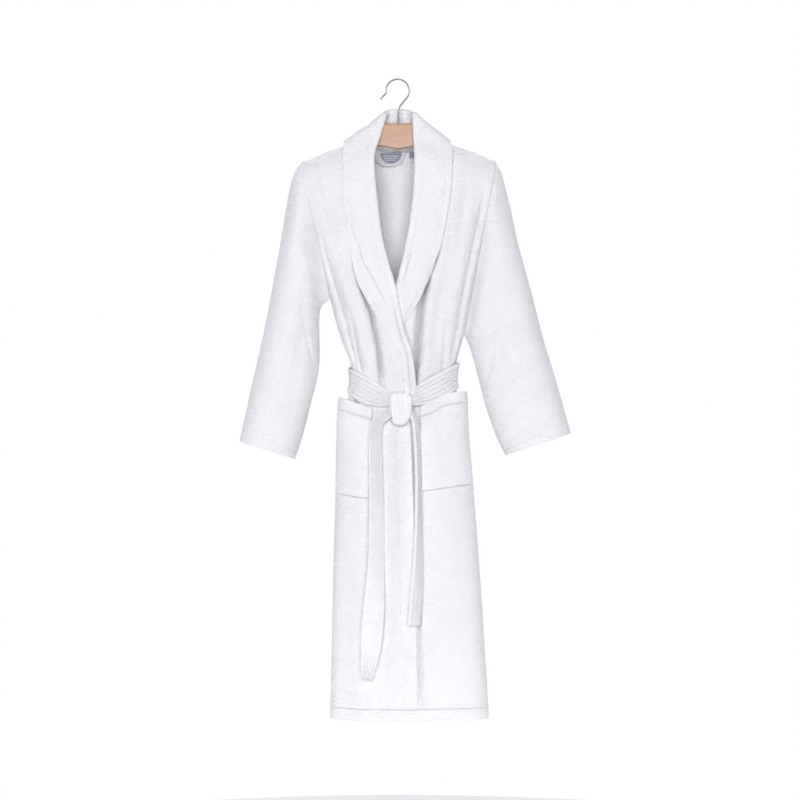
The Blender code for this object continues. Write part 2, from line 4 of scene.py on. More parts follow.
import bmesh
import bpy
import numpy as np
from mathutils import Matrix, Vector


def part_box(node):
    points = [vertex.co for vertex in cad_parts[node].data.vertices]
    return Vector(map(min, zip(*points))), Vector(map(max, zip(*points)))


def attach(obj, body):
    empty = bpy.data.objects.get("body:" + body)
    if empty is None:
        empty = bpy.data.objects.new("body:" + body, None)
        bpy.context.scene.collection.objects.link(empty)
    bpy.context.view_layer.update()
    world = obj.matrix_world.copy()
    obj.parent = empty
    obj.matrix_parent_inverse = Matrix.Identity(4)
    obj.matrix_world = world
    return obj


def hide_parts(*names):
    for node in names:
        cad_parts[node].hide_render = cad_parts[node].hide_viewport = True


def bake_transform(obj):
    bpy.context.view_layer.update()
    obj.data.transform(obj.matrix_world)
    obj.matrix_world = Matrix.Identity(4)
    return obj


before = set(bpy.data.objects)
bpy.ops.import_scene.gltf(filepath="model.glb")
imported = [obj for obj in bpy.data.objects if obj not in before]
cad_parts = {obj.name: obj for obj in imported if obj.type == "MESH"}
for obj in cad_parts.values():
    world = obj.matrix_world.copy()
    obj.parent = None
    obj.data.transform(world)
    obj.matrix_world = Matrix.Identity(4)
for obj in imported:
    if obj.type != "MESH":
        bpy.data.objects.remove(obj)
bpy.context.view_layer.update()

# -------- driving sizes, as in the model
CLOTH = 0.0042
COLLAR_CLOTH = 0.0055
BELT_CLOTH = 0.0050
LAYER_GAP = 0.0012
SEAM_GAP = 0.0006
HEM_Z = float(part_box("back_panel")[0][2])
TIP_Z = -0.168
SHOULDER_SLOPE = 0.30
SHOULDER_REACH = {-1: 0.200, 1: 0.208}
SHOULDER_FALL = 0.006
FALL_START = 0.14
RIDGE_SOFTNESS = 0.044
BACK_NECK_Z = -0.149
ARMHOLE = {-1: ((-0.198, -0.1734), (-0.139, -0.452)), 1: ((0.200, -0.1716), (0.134, -0.523))}
ARMHOLE_DEPTH = 0.045
NECK_X = {-1: -0.066, 1: 0.061}

# Body outline (z, x) below the underarms, and half-depths (z, y)
SIDE_LEFT = [(-0.452, -0.139), (-0.5, -0.127), (-0.542, -0.114), (-0.59, -0.094), (-0.627, -0.089),
             (-0.655, -0.096), (-0.68, -0.11), (-0.71, -0.118), (-0.79, -0.125), (-1.000, -0.131),
             (HEM_Z, -0.138)]
SIDE_RIGHT = [(-0.523, 0.134), (-0.567, 0.121), (-0.592, 0.114), (-0.617, 0.109), (-0.645, 0.113),
              (-0.675, 0.13), (-0.705, 0.138), (-0.775, 0.145), (-0.892, 0.155), (-1.083, 0.169),
              (HEM_Z, 0.184)]
FRONT_DEPTH = [(-0.1, 0.058), (-0.3, 0.06), (-0.45, 0.064), (-0.63, 0.054), (-0.72, 0.064),
               (-0.9, 0.07), (HEM_Z, 0.074)]
BACK_DEPTH = [(-0.1, 0.056), (-0.2, 0.052), (-0.32, 0.038), (-0.45, 0.036), (-0.63, 0.038),
              (-0.72, 0.05), (-0.9, 0.06), (HEM_Z, 0.068)]
SECTION_POWER = 2.3
BODY_CENTRE = 0.01

# Collar outlines (x, z) on the fronts: the roll line and the outer edge, from the bottom up
ROLL_LEFT = [(0.031, -0.668), (0.022, -0.578), (0.003, -0.517), (-0.012, -0.44), (-0.026, -0.392),
             (-0.041, -0.328), (-0.05, -0.26), (-0.055, -0.207), (-0.055, -0.16)]
EDGE_LEFT = [(0.02, -0.674), (0.008, -0.592), (-0.017, -0.533), (-0.055, -0.463), (-0.082, -0.41),
             (-0.098, -0.344), (-0.109, -0.281), (-0.113, -0.232), (-0.114, -0.19)]
ROLL_RIGHT = [(-0.03, -0.53), (-0.012, -0.48), (0.003, -0.424), (0.015, -0.377), (0.025, -0.328),
              (0.034, -0.271), (0.039, -0.207), (0.039, -0.16)]
EDGE_RIGHT = [(-0.014, -0.548), (0.01, -0.505), (0.036, -0.459), (0.067, -0.406), (0.083, -0.348),
              (0.097, -0.285), (0.106, -0.23), (0.108, -0.188)]
# Collar round the neck, as (seam, roll, outer edge) points from front to centre back
NECK_LEFT = [((-0.062, -0.01, -0.127), (-0.046, -0.018, -0.122), (-0.114, -0.024, -0.152)),
             ((-0.063, 0.0000, -0.117), (-0.034, -0.003, -0.081), (-0.109, 0.000, -0.1305)),
             ((-0.054, 0.014, -0.127), (-0.029, 0.014, -0.073), (-0.1, 0.034, -0.148)),
             ((-0.032, 0.028, -0.14), (-0.02, 0.027, -0.068), (-0.064, 0.055, -0.17)),
             ((0.0, 0.032, -0.145), (0.0, 0.031, -0.0665), (0.0, 0.06, -0.178))]
NECK_RIGHT = [((0.057, -0.01, -0.127), (0.038, -0.018, -0.122), (0.1105, -0.024, -0.152)),
              ((0.059, 0.0000, -0.117), (0.036, -0.003, -0.08), (0.104, 0.000, -0.129)),
              ((0.052, 0.014, -0.127), (0.03, 0.014, -0.073), (0.096, 0.034, -0.148)),
              ((0.03, 0.028, -0.14), (0.02, 0.027, -0.068), (0.062, 0.055, -0.17)),
              ((0.0, 0.032, -0.145), (0.0, 0.031, -0.0665), (0.0, 0.06, -0.178))]

# Front edges (z, x): the outer flap on the viewer's left, and the under flap
OUTER_FLAP = [(-0.6, 0.012), (-0.634, 0.016), (-0.716, 0.024), (-0.995, 0.034), (HEM_Z, 0.039)]
UNDER_FLAP = [(-0.5, 0.006), (-0.53, -0.01), (-0.65, -0.03), (-0.8, -0.055), (HEM_Z, -0.066)]
OVERLAP_LIFT = 0.0075
CROSSING_LIFT = 0.0085

# Sleeves: outer and inner lines (x, z) from the armhole to the cuff
SLEEVE_OUTER = {
    -1: [(-0.196, -0.1715), (-0.2065, -0.1825), (-0.2135, -0.197), (-0.221, -0.222), (-0.23, -0.267),
        (-0.243, -0.342), (-0.261, -0.442), (-0.281, -0.542), (-0.304, -0.642), (-0.327, -0.752)],
    1: [(0.198, -0.17), (0.205, -0.182), (0.2105, -0.197), (0.2165, -0.218), (0.2285, -0.267),
        (0.2452, -0.342), (0.2745, -0.442), (0.2997, -0.542), (0.329, -0.642), (0.3545, -0.7355)]}
SLEEVE_INNER = {
    -1: [(-0.139, -0.45), (-0.158, -0.462), (-0.168, -0.48), (-0.17, -0.517), (-0.17, -0.58),
        (-0.175, -0.62), (-0.187, -0.667), (-0.206, -0.745), (-0.2185, -0.787)],
    1: [(0.134, -0.521), (0.144, -0.536), (0.153, -0.558), (0.163, -0.59), (0.177, -0.642),
        (0.192, -0.692), (0.209, -0.7415), (0.2257, -0.778)]}
CUFF_DEPTH = 0.056

# Belt: its turn round the body is 0 at the left seam, 0.5 at the right one
BELT_WIDTH = 0.05
BELT_LINE = [(0.0, -0.625), (0.05, -0.6285), (0.1, -0.6385), (0.142, -0.65), (0.1786, -0.661),
             (0.24, -0.667), (0.28, -0.662), (0.341, -0.645), (0.4, -0.629), (0.45, -0.618),
             (0.5, -0.6135), (0.6, -0.608), (0.75, -0.604), (0.9, -0.614), (1.0, -0.625)]
KNOT_TURN = 0.24
WAIST_GIRTH = 0.62

# Belt tails: their routes down from the knot, widths, and how far each is turned edge on
LONG_TAIL = [(-0.012, -0.088, -0.69), (-0.026, -0.093, -0.697), (-0.04, -0.095, -0.706),
             (-0.048, -0.093, -0.726), (-0.049, -0.092, -0.77), (-0.047, -0.094, -0.86),
             (-0.047, -0.096, -0.96), (-0.05, -0.097, -1.06), (-0.057, -0.098, -1.17),
             (-0.066, -0.098, -1.236)]
LONG_TAIL_WIDTH = [0.022, 0.024, 0.026, 0.031, 0.034, 0.035, 0.04, 0.044, 0.04, 0.022]
LONG_TAIL_TURN = [0.0, 0.1, 0.3, 0.55, 0.65, 0.6, 0.4, 0.2, 0.1, 0.1]
SHORT_TAIL = [(0.026, -0.086, -0.69), (0.033, -0.092, -0.71), (0.037, -0.094, -0.76),
              (0.039, -0.096, -0.86), (0.038, -0.098, -1.01), (0.033, -0.099, -1.09),
              (0.03, -0.099, -1.126)]
SHORT_TAIL_WIDTH = [0.022, 0.022, 0.021, 0.022, 0.026, 0.03, 0.032]
SHORT_TAIL_TURN = [1.0, 1.15, 1.2, 1.15, 1.0, 0.85, 0.8]

# Pockets: side and inner edge, mouths and bottoms as (x, z), and outer edges as (z, x)
POCKETS = {"patch_pocket_left": (-1, -0.057), "patch_pocket_right": (1, 0.047)}
POCKET_TOPS = {
    "patch_pocket_left": [(-0.053, -0.684), (-0.085, -0.673), (-0.126, -0.659)],
    "patch_pocket_right": [(0.15, -0.649), (0.14, -0.647), (0.093, -0.653), (0.07, -0.67),
        (0.047, -0.678)]}
POCKET_BOTTOMS = {
    "patch_pocket_left": [(-0.053, -0.867), (-0.085, -0.864), (-0.135, -0.856)],
    "patch_pocket_right": [(0.15, -0.837), (0.047, -0.852)]}
POCKET_MOUTH = 0.012
POCKET_HEIGHT = 0.185
POCKET_CLOTH = 0.005
POCKET_SIDES = {
    "patch_pocket_left": [(-0.64, -0.117), (-0.667, -0.1205), (-0.7, -0.1235), (-0.862, -0.1265)],
    "patch_pocket_right": [(-0.64, 0.136), (-0.66, 0.1385), (-0.7, 0.14), (-0.742, 0.1415),
        (-0.848, 0.151)]}

# Distances of the stitch lines from their edges
HEM_STITCH = 0.024
CUFF_STITCH = 0.023
POCKET_HEM = 0.022

# Back neck: the lean of its pieces, and the sizes of the loop, label and tag
BACK_LEAN = math.radians(18)
LOOP_DROP = 0.028
LOOP_WIDTH = 0.005
LABEL_DROP = 0.0205
TAG_TALL = 0.011

# Hanger: heights of the board's top and underside, and its arms
WOOD_TOP = -0.0926
WOOD_UNDER = -0.1425
WOOD_THICK = 0.012
ARM_DROP = 0.013
ARM_TALL = 0.022
ARM_TIP = 0.174

# Folds: the path (x, z) of each, its height (negative is a valley), and its half-widths left and right
FOLDS_LEFT = [
    ([(-0.188, -0.2), (-0.1685, -0.313), (-0.134, -0.417), (-0.114, -0.48), (-0.09, -0.577),
      (-0.086, -0.63)], -0.017, 0.005, 0.011),
    ([(-0.101, -0.465), (-0.084, -0.55), (-0.072, -0.615)], -0.013, 0.004, 0.008),
    ([(-0.096, -0.37), (-0.08, -0.43), (-0.058, -0.49), (-0.044, -0.56), (-0.036, -0.645)],
     -0.036, 0.005, 0.011),
    ([(-0.122, -0.35), (-0.105, -0.44), (-0.083, -0.53), (-0.062, -0.62)], 0.007, 0.01, 0.01),
    ([(-0.16, -0.18), (-0.152, -0.26), (-0.132, -0.35)], -0.006, 0.009, 0.011),
    ([(-0.135, -0.17), (-0.128, -0.24), (-0.118, -0.31)], 0.003, 0.009, 0.011),
    ([(-0.108, -0.62), (-0.109, -0.66), (-0.112, -0.72)], -0.022, 0.004, 0.005),
    ([(-0.086, -0.62), (-0.087, -0.66), (-0.088, -0.74)], -0.022, 0.005, 0.005),
    ([(-0.088, -0.78), (-0.092, -0.9), (-0.1, -1.1), (-0.104, HEM_Z - 0.1)], -0.004, 0.02, 0.022),
    ([(-0.022, -0.68), (-0.016, -0.8), (-0.012, -1.0)], 0.004, 0.014, 0.012),
    ([(-0.04, -0.72), (-0.034, -0.9), (-0.03, -1.1), (-0.026, HEM_Z - 0.1)], -0.004, 0.02, 0.02)]
FOLDS_RIGHT = [
    ([(0.09, -0.34), (0.068, -0.4), (0.05, -0.463), (0.0447, -0.525), (0.04, -0.58),
      (0.033, -0.655)], -0.038, 0.011, 0.005),
    ([(0.07, -0.43), (0.062, -0.5), (0.056, -0.58), (0.052, -0.64)], 0.006, 0.008, 0.009),
    ([(0.128, -0.176), (0.12, -0.25), (0.109, -0.334), (0.088, -0.438), (0.076, -0.56)],
     -0.008, 0.012, 0.013),
    ([(0.178, -0.215), (0.16, -0.313), (0.14, -0.4066), (0.126, -0.479), (0.11, -0.59)],
     -0.015, 0.01, 0.005),
    ([(0.19, -0.23), (0.171, -0.334), (0.152, -0.42), (0.134, -0.5)], 0.004, 0.006, 0.006),
    ([(0.15, -0.19), (0.144, -0.26), (0.13, -0.37)], 0.004, 0.01, 0.01),
    ([(0.1, -0.46), (0.094, -0.54), (0.088, -0.62)], -0.007, 0.006, 0.008),
    ([(0.078, -0.88), (0.084, -1.05), (0.09, HEM_Z - 0.1)], -0.003, 0.022, 0.024),
    ([(0.122, -0.88), (0.13, -1.1), (0.136, HEM_Z - 0.1)], -0.003, 0.02, 0.022)]
# The valley under the outer flap's edge
FOLDS_RIGHT.append(([(x + 0.007, z) for z, x in OUTER_FLAP[1:]], -0.014, 0.006, 0.004))
FOLDS_BACK = [
    ([(-0.075, -0.3), (-0.062, -0.45), (-0.052, -0.6), (-0.066, -0.8), (-0.085, -1.1)],
     -0.01, 0.01, 0.014),
    ([(-0.02, -0.42), (-0.01, -0.6), (-0.018, -0.85), (-0.026, HEM_Z - 0.1)], -0.011, 0.012, 0.01),
    ([(0.06, -0.3), (0.042, -0.45), (0.03, -0.6), (0.034, -0.85)], -0.011, 0.01, 0.014),
    ([(0.12, -0.3), (0.095, -0.48), (0.074, -0.6), (0.098, -0.85), (0.112, HEM_Z - 0.1)],
     -0.009, 0.01, 0.012),
    ([(0.01, -0.2), (0.01, -0.33)], -0.004, 0.03, 0.03),
    ([(0.052, -0.8), (0.06, -1.05), (0.07, HEM_Z - 0.1)], 0.007, 0.014, 0.016)]
LAPEL_CREASE = [(-0.1, -0.29), (-0.088, -0.33), (-0.07, -0.385), (-0.042, -0.435), (-0.022, -0.48)]


# -------- camera, light and floor
CAMERA_DISTANCE = 6.5
VIEW_CENTRE = (0.003, -0.6655)
VIEW_HEIGHT = 1.664
FLOOR_Z = HEM_Z - 0.30
FLOOR_RADIUS = 1.1
LIGHT_COLOUR = (0.900, 0.912, 1.0)
LIGHT_SIZE = (3.0, 3.0)
LIGHT_AIM = (0, 0, -0.7)
LIGHTS = [("front", (-0.2, -5.4, -0.2), 318), ("left", (-4.6, -1.2, 0.3), 85),
          ("right", (4.6, -1.2, 0.2), 85), ("back_left", (-3.0, 4.4, 0.4), 150),
          ("back_right", (3.0, 4.4, 0.4), 150), ("top", (0, -0.5, 4.0), 50)]


def make_camera():
    data = bpy.data.cameras.new("camera")
    data.sensor_width = 36.0
    data.lens = data.sensor_width * CAMERA_DISTANCE / VIEW_HEIGHT
    data.clip_end = 60
    camera = bpy.data.objects.new("camera", data)
    camera.location = (VIEW_CENTRE[0], -CAMERA_DISTANCE, VIEW_CENTRE[1])
    camera.rotation_euler = (math.radians(90), 0, 0)
    bpy.context.scene.collection.objects.link(camera)
    bpy.context.scene.camera = camera


def area_light(name, place, energy):
    data = bpy.data.lights.new(name, "AREA")
    data.shape = "RECTANGLE"
    data.size, data.size_y = LIGHT_SIZE
    data.energy = energy
    data.color = LIGHT_COLOUR
    light = bpy.data.objects.new(name, data)
    light.location = place
    light.rotation_euler = (Vector(LIGHT_AIM) - Vector(place)).to_track_quat("-Z", "Y").to_euler()
    bpy.context.scene.collection.objects.link(light)


def make_stage():
    mesh = bpy.data.meshes.new("floor")
    shape = bmesh.new()
    bmesh.ops.create_circle(shape, cap_ends=True, segments=96, radius=FLOOR_RADIUS)
    shape.to_mesh(mesh)
    shape.free()
    floor = bpy.data.objects.new("floor", mesh)
    floor.location = (0, 0, FLOOR_Z)
    bpy.context.scene.collection.objects.link(floor)
    mat = bpy.data.materials.new("floor_white")
    mat.use_nodes = True
    shader = mat.node_tree.nodes["Principled BSDF"]
    shader.inputs["Base Color"].default_value = (0.97, 0.955, 0.90, 1)
    shader.inputs["Roughness"].default_value = 0.9
    mesh.materials.append(mat)
    world = bpy.data.worlds.new("studio")
    world.use_nodes = True
    world.node_tree.nodes["Background"].inputs["Color"].default_value = (1.0, 1.0, 1.0, 1)
    world.node_tree.nodes["Background"].inputs["Strength"].default_value = 1.0
    world.cycles_visibility.diffuse = False
    bpy.context.scene.world = world
    bpy.context.scene.view_settings.view_transform = "Standard"


# -------- shape helpers
def smooth_step(value, low, high):
    t = np.clip((np.asarray(value, float) - low) / (high - low), 0.0, 1.0)
    return t * t * (3 - 2 * t)


def curve_of(table, blur=0.02):
    """A smooth function of height through a (z, value) table."""
    heights = np.array([row[0] for row in table][::-1], float)
    values = np.array([row[1] for row in table][::-1], float)
    step = 0.002
    dense = np.arange(-1.6, 0.2, step)
    filled = np.interp(dense, heights, values)
    kernel = np.exp(-0.5 * (np.arange(-40, 41) * step / blur) ** 2)
    padded = np.pad(filled, 40, mode="edge")
    soft = np.convolve(padded, kernel / kernel.sum(), mode="valid")
    return lambda z: np.interp(z, dense, soft)


def spline_at(guides, u):
    """Values of a smooth curve through the guide rows at the given row numbers."""
    padded = np.vstack([2 * guides[0] - guides[1], guides, 2 * guides[-1] - guides[-2]])
    i = np.minimum(u.astype(int), len(guides) - 2)
    f = (u - i)[:, None]
    a, b, c, d = padded[i], padded[i + 1], padded[i + 2], padded[i + 3]
    square = (2 * a - 5 * b + 4 * c - d) * f ** 2
    return 0.5 * (2 * b + (c - a) * f + square + (3 * b - a - 3 * c + d) * f ** 3)


def spline(points, count):
    """Points along a smooth curve through the given points."""
    guides = np.array(points, float)
    return spline_at(guides, np.linspace(0, len(guides) - 1, count))


def even_spline(points, count):
    """As spline, with points at even distances."""
    dense = spline(points, 40 * len(points))
    travel = np.concatenate([[0], np.cumsum(np.linalg.norm(np.diff(dense, axis=0), axis=1))])
    want = np.linspace(0, travel[-1], count)
    return np.stack([np.interp(want, travel, dense[:, k]) for k in range(dense.shape[1])], axis=1)


POCKET_EDGE = {name: curve_of(points, 0.01) for name, points in POCKET_SIDES.items()}
left_seam = curve_of(SIDE_LEFT, 0.010)
right_seam = curve_of(SIDE_RIGHT, 0.010)
front_full = curve_of(FRONT_DEPTH, 0.03)
back_full = curve_of(BACK_DEPTH, 0.03)


def shoulder_z(x):
    """The shoulder ridge: straight, with a softer fall towards the tip."""
    reach = np.where(np.asarray(x) < 0, SHOULDER_REACH[-1], SHOULDER_REACH[1])
    tip = np.where(np.asarray(x) < 0, -ARMHOLE[-1][0][0], ARMHOLE[1][0][0])
    fall = SHOULDER_FALL * smooth_step(np.abs(x), FALL_START, tip)
    return TIP_Z + SHOULDER_SLOPE * (reach - np.abs(x)) - fall


def side_x(side, z):
    """The body's side: the armhole line above the underarm and the side seam below it."""
    tip, underarm = ARMHOLE[side]
    f = np.clip((tip[1] - z) / (tip[1] - underarm[1]), 0, 1)
    above = tip[0] + (underarm[0] - tip[0]) * f
    seam = left_seam(z) if side < 0 else right_seam(z)
    blend = smooth_step(z, underarm[1] - 0.012, underarm[1] + 0.004)
    return seam + (above - seam) * blend


def armhole_profile(f):
    """How far the seam stands off the side plane down the armhole: full at the shoulder, drawn in below."""
    return 0.054 * (1 - np.exp(-6.8 * f)) * (1 - 0.72 * smooth_step(f, 0.22, 0.62)) * (1 - f ** 8)


def armhole_y(side, z):
    """Half of the armhole's opening at height z."""
    tip, underarm = ARMHOLE[side]
    return armhole_profile(np.clip((tip[1] - z) / (tip[1] - underarm[1]), 0, 1))


def ripple(x, z, size):
    """Small even unevenness of hung cloth."""
    waves = [(1.0, 0.3, 0.0), (-0.7, 0.8, 1.7), (0.4, -1.1, 4.1), (1.6, 0.9, 2.6), (-1.3, -0.5, 5.2)]
    total = 0
    for wx, wz, phase in waves:
        total = total + np.sin(2 * np.pi * (x * wx + z * wz * 0.35) / size + phase)
    return total / len(waves)


def fold_height(folds, x, z):
    """Sum of the folds at (x, z); each fades out over its own ends."""
    total = np.zeros(np.broadcast(x, z).shape)
    for path, height, left, right in folds:
        zs = np.array([p[1] for p in path])[::-1]
        xs = np.array([p[0] for p in path])[::-1]
        away = x - np.interp(z, zs, xs)
        width = np.where(away < 0, left, right)
        length = zs[-1] - zs[0]
        low_end = smooth_step(z, zs[0] - 0.01, zs[0] + 0.18 * length)
        top_end = smooth_step(-z, -zs[-1] - 0.01, -zs[-1] + 0.3 * length)
        total = total + height * low_end * top_end * np.exp(-(away / width) ** 2)
    return total


def body_depth(x, z, front):
    """Distance from the side-seam plane to the inside of the cloth, before folds."""
    result = np.zeros(np.broadcast(x, z).shape)
    below_ridge = np.maximum(0, shoulder_z(x) - z)
    full = (front_full(z) if front else back_full(z)) * (1 - np.exp(-below_ridge / RIDGE_SOFTNESS))
    for side in (-1, 1):
        edge = side_x(side, z)
        inward = np.clip((x - edge) / (BODY_CENTRE - edge), 0, 1)
        rise = (1 - (1 - inward) ** SECTION_POWER) ** (1 / SECTION_POWER)
        open_half = armhole_y(side, z)
        here = SEAM_GAP + open_half + (full - open_half) * rise
        result = np.where((x < BODY_CENTRE) == (side < 0), here, result)
    return result


def front_lift(x, z):
    """How far the outer flap stands in front of the under flap and its lapel."""
    lift = OVERLAP_LIFT * smooth_step(x, -0.115, -0.070) * smooth_step(-z, 0.34, 0.47)
    crossing = smooth_step(x, -0.090, -0.035) * smooth_step(-z, 0.36, 0.46) * smooth_step(z, -0.66, -0.56)
    return lift + CROSSING_LIFT * crossing


def side_fade(x, z):
    """Folds die out at the side seams and at the shoulder ridge."""
    left, right = side_x(-1, z), side_x(1, z)
    near = np.minimum(np.abs(x - left), np.abs(right - x))
    return smooth_step(near, 0.0, 0.014) * smooth_step(shoulder_z(x) - z, 0.0, 0.05)


def front_depth(x, z, outer):
    folds = FOLDS_LEFT if outer else FOLDS_RIGHT
    depth = body_depth(x, z, True) + (front_lift(x, z) if outer else 0.0)
    shape = fold_height(folds, x, z) + 0.0012 * ripple(x, z, 0.085) + 0.0016 * ripple(x + 0.3, z, 0.21)
    return depth + shape * side_fade(x, z)


def back_depth(x, z):
    shape = fold_height(FOLDS_BACK, x, z) + 0.0014 * ripple(x + 1.0, z, 0.10)
    shape = shape + 0.002 * ripple(x, z + 1.0, 0.24)
    return body_depth(x, z, False) + shape * side_fade(x, z)


def front_points(x, z, offset, outer):
    """Points offset outward from the front's inner face, as an array."""
    step = 0.003
    depth = front_depth(x, z, outer)
    slope_x = (front_depth(x + step, z, outer) - front_depth(x - step, z, outer)) / (2 * step)
    slope_z = (front_depth(x, z + step, outer) - front_depth(x, z - step, outer)) / (2 * step)
    normal = np.stack([-slope_x, -np.ones_like(slope_x), -slope_z], axis=-1)
    normal /= np.linalg.norm(normal, axis=-1, keepdims=True)
    base = np.stack(np.broadcast_arrays(x, -depth, z), axis=-1)
    return base + normal * np.asarray(offset)[..., None]


def add_grid(name, grid, mat, thickness=0.0, closed=False, bevel=0.0):
    """A grid of points (rows, columns, 3) as cloth; the modifiers are applied."""
    rows, columns, _ = grid.shape
    span = columns if closed else columns - 1
    i, j = np.meshgrid(np.arange(rows - 1), np.arange(span), indexing="ij")
    a = i * columns + j
    b = i * columns + (j + 1) % columns
    faces = np.stack([a, b, b + columns, a + columns], axis=-1).reshape(-1, 4)
    mesh = bpy.data.meshes.new(name)
    mesh.from_pydata(grid.reshape(-1, 3).tolist(), [], faces.tolist())
    mesh.update()
    obj = bpy.data.objects.new(name, mesh)
    bpy.context.scene.collection.objects.link(obj)
    mesh.materials.append(mat)
    if thickness:
        shell = obj.modifiers.new("Cloth", "SOLIDIFY")
        shell.thickness = thickness
        shell.offset = 1.0
    if bevel:
        edge = obj.modifiers.new("Edge", "BEVEL")
        edge.width = bevel
        edge.segments = 3
        edge.angle_limit = math.radians(50)
    freeze(obj)
    return obj


def freeze(obj):
    """Applies the modifiers and shades the mesh smooth."""
    bpy.context.view_layer.update()
    depsgraph = bpy.context.evaluated_depsgraph_get()
    mesh = bpy.data.meshes.new_from_object(obj.evaluated_get(depsgraph))
    obj.modifiers.clear()
    obj.data = mesh
    mesh.shade_smooth()


# -------- materials
class Nodes:
    """Small helper that adds and joins shader nodes."""

    def __init__(self, name):
        self.material = bpy.data.materials.new(name)
        self.material.use_nodes = True
        self.tree = self.material.node_tree
        self.shader = self.tree.nodes["Principled BSDF"]
        self.place = self.add("ShaderNodeTexCoord").outputs["Object"]

    def add(self, kind, **values):
        node = self.tree.nodes.new(kind)
        for key, value in values.items():
            if hasattr(node, key):
                setattr(node, key, value)
            else:
                node.inputs[key.replace("_", " ")].default_value = value
        return node

    def join(self, output, target):
        self.tree.links.new(output, target)

    def noise(self, scale, detail=3.0, rough=0.55):
        node = self.add("ShaderNodeTexNoise", Scale=scale, Detail=detail, Roughness=rough)
        self.join(self.place, node.inputs["Vector"])
        return node.outputs["Fac"]

    def mix(self, factor, first, second):
        node = self.add("ShaderNodeMix", data_type="RGBA")
        self.join(factor, node.inputs["Factor"])
        node.inputs[6].default_value = (*first, 1)
        node.inputs[7].default_value = (*second, 1)
        return node.outputs[2]

    def ramp(self, factor, low, high):
        node = self.add("ShaderNodeMapRange", From_Min=low, From_Max=high)
        self.join(factor, node.inputs["Value"])
        return node.outputs["Result"]

    def bump(self, height, strength, distance, under=None):
        node = self.add("ShaderNodeBump", Strength=strength, Distance=distance)
        self.join(height, node.inputs["Height"])
        if under is not None:
            self.join(under, node.inputs["Normal"])
        return node.outputs["Normal"]


def terry_material(name, light, shade, loop=0.0022, pile=0.0011):
    """Cotton loops: a close pebbled pile, soft patches where it lies another way, and a faint sheen."""
    n = Nodes(name)
    loops = n.add("ShaderNodeTexVoronoi", Scale=1 / loop)
    n.join(n.place, loops.inputs["Vector"])
    lie = n.add("ShaderNodeMapping", vector_type="POINT")
    lie.inputs["Scale"].default_value = (120.0, 120.0, 330.0)
    n.join(n.place, lie.inputs["Vector"])
    rows = n.add("ShaderNodeTexNoise", Scale=1.0, Detail=3.0, Roughness=0.6)
    n.join(lie.outputs["Vector"], rows.inputs["Vector"])
    patches = n.noise(26.0, 4.0)
    both = n.add("ShaderNodeMath", operation="ADD")
    speckle = n.noise(420.0, 2.0, 0.7)
    n.join(n.ramp(patches, 0.2, 1.5), both.inputs[0])
    n.join(n.ramp(speckle, 0.30, 0.90), both.inputs[1])
    colour = n.mix(both.outputs[0], shade, light)
    n.join(colour, n.shader.inputs["Base Color"])
    coarse = n.bump(rows.outputs["Fac"], 0.90, 0.0034)
    fine = n.bump(loops.outputs["Distance"], 0.70, pile, coarse)
    n.join(fine, n.shader.inputs["Normal"])
    n.shader.inputs["Subsurface Weight"].default_value = 0.40
    n.shader.inputs["Subsurface Radius"].default_value = (1.0, 1.0, 1.0)
    n.shader.inputs["Subsurface Scale"].default_value = 0.008
    n.shader.inputs["Roughness"].default_value = 0.95
    n.shader.inputs["Sheen Weight"].default_value = 0.15
    n.shader.inputs["Sheen Roughness"].default_value = 0.6
    n.shader.inputs["Specular IOR Level"].default_value = 0.2
    return n.material


def woven_material(name, light, shade, thread):
    """Flat woven tape: crossing threads."""
    n = Nodes(name)
    waves = []
    for direction in ("X", "Z"):
        wave = n.add("ShaderNodeTexWave", bands_direction=direction, Scale=1 / thread / 6.28, Distortion=0.6)
        n.join(n.place, wave.inputs["Vector"])
        waves.append(wave.outputs["Fac"])
    both = n.add("ShaderNodeMath", operation="MULTIPLY")
    n.join(waves[0], both.inputs[0])
    n.join(waves[1], both.inputs[1])
    n.join(n.mix(both.outputs[0], shade, light), n.shader.inputs["Base Color"])
    n.join(n.bump(both.outputs[0], 0.5, 0.0003), n.shader.inputs["Normal"])
    n.shader.inputs["Roughness"].default_value = 0.7
    return n.material


def wood_material():
    """Lacquered hardwood with the grain along the arms."""
    n = Nodes("lacquered_wood")
    stretch = n.add("ShaderNodeMapping", vector_type="POINT")
    stretch.inputs["Scale"].default_value = (4.0, 30.0, 60.0)
    n.join(n.place, stretch.inputs["Vector"])
    grain = n.add("ShaderNodeTexNoise", Scale=3.0, Detail=6.0, Roughness=0.6, Distortion=0.5)
    n.join(stretch.outputs["Vector"], grain.inputs["Vector"])
    pores = n.add("ShaderNodeTexNoise", Scale=18.0, Detail=3.0, Roughness=0.5)
    n.join(stretch.outputs["Vector"], pores.inputs["Vector"])
    n.join(n.mix(n.ramp(grain.outputs["Fac"], 0.3, 0.7), (0.30, 0.135, 0.035), (0.41, 0.20, 0.060)),
           n.shader.inputs["Base Color"])
    n.join(n.bump(pores.outputs["Fac"], 0.15, 0.0003), n.shader.inputs["Normal"])
    n.shader.inputs["Roughness"].default_value = 0.38
    n.shader.inputs["Coat Weight"].default_value = 0.12
    return n.material


def steel_material():
    n = Nodes("plated_wire")
    n.shader.inputs["Metallic"].default_value = 1.0
    smudge = n.noise(240.0, 3.0)
    n.join(n.mix(smudge, (0.20, 0.19, 0.18), (0.30, 0.29, 0.27)), n.shader.inputs["Base Color"])
    n.join(n.ramp(smudge, -0.9, 3.2), n.shader.inputs["Roughness"])
    return n.material


# -------- robe panels
def stitch_groove(distance, depth=0.0010, width=0.0012):
    """A sewn line's dip at a distance of zero."""
    return -depth * np.exp(-(distance / width) ** 2)


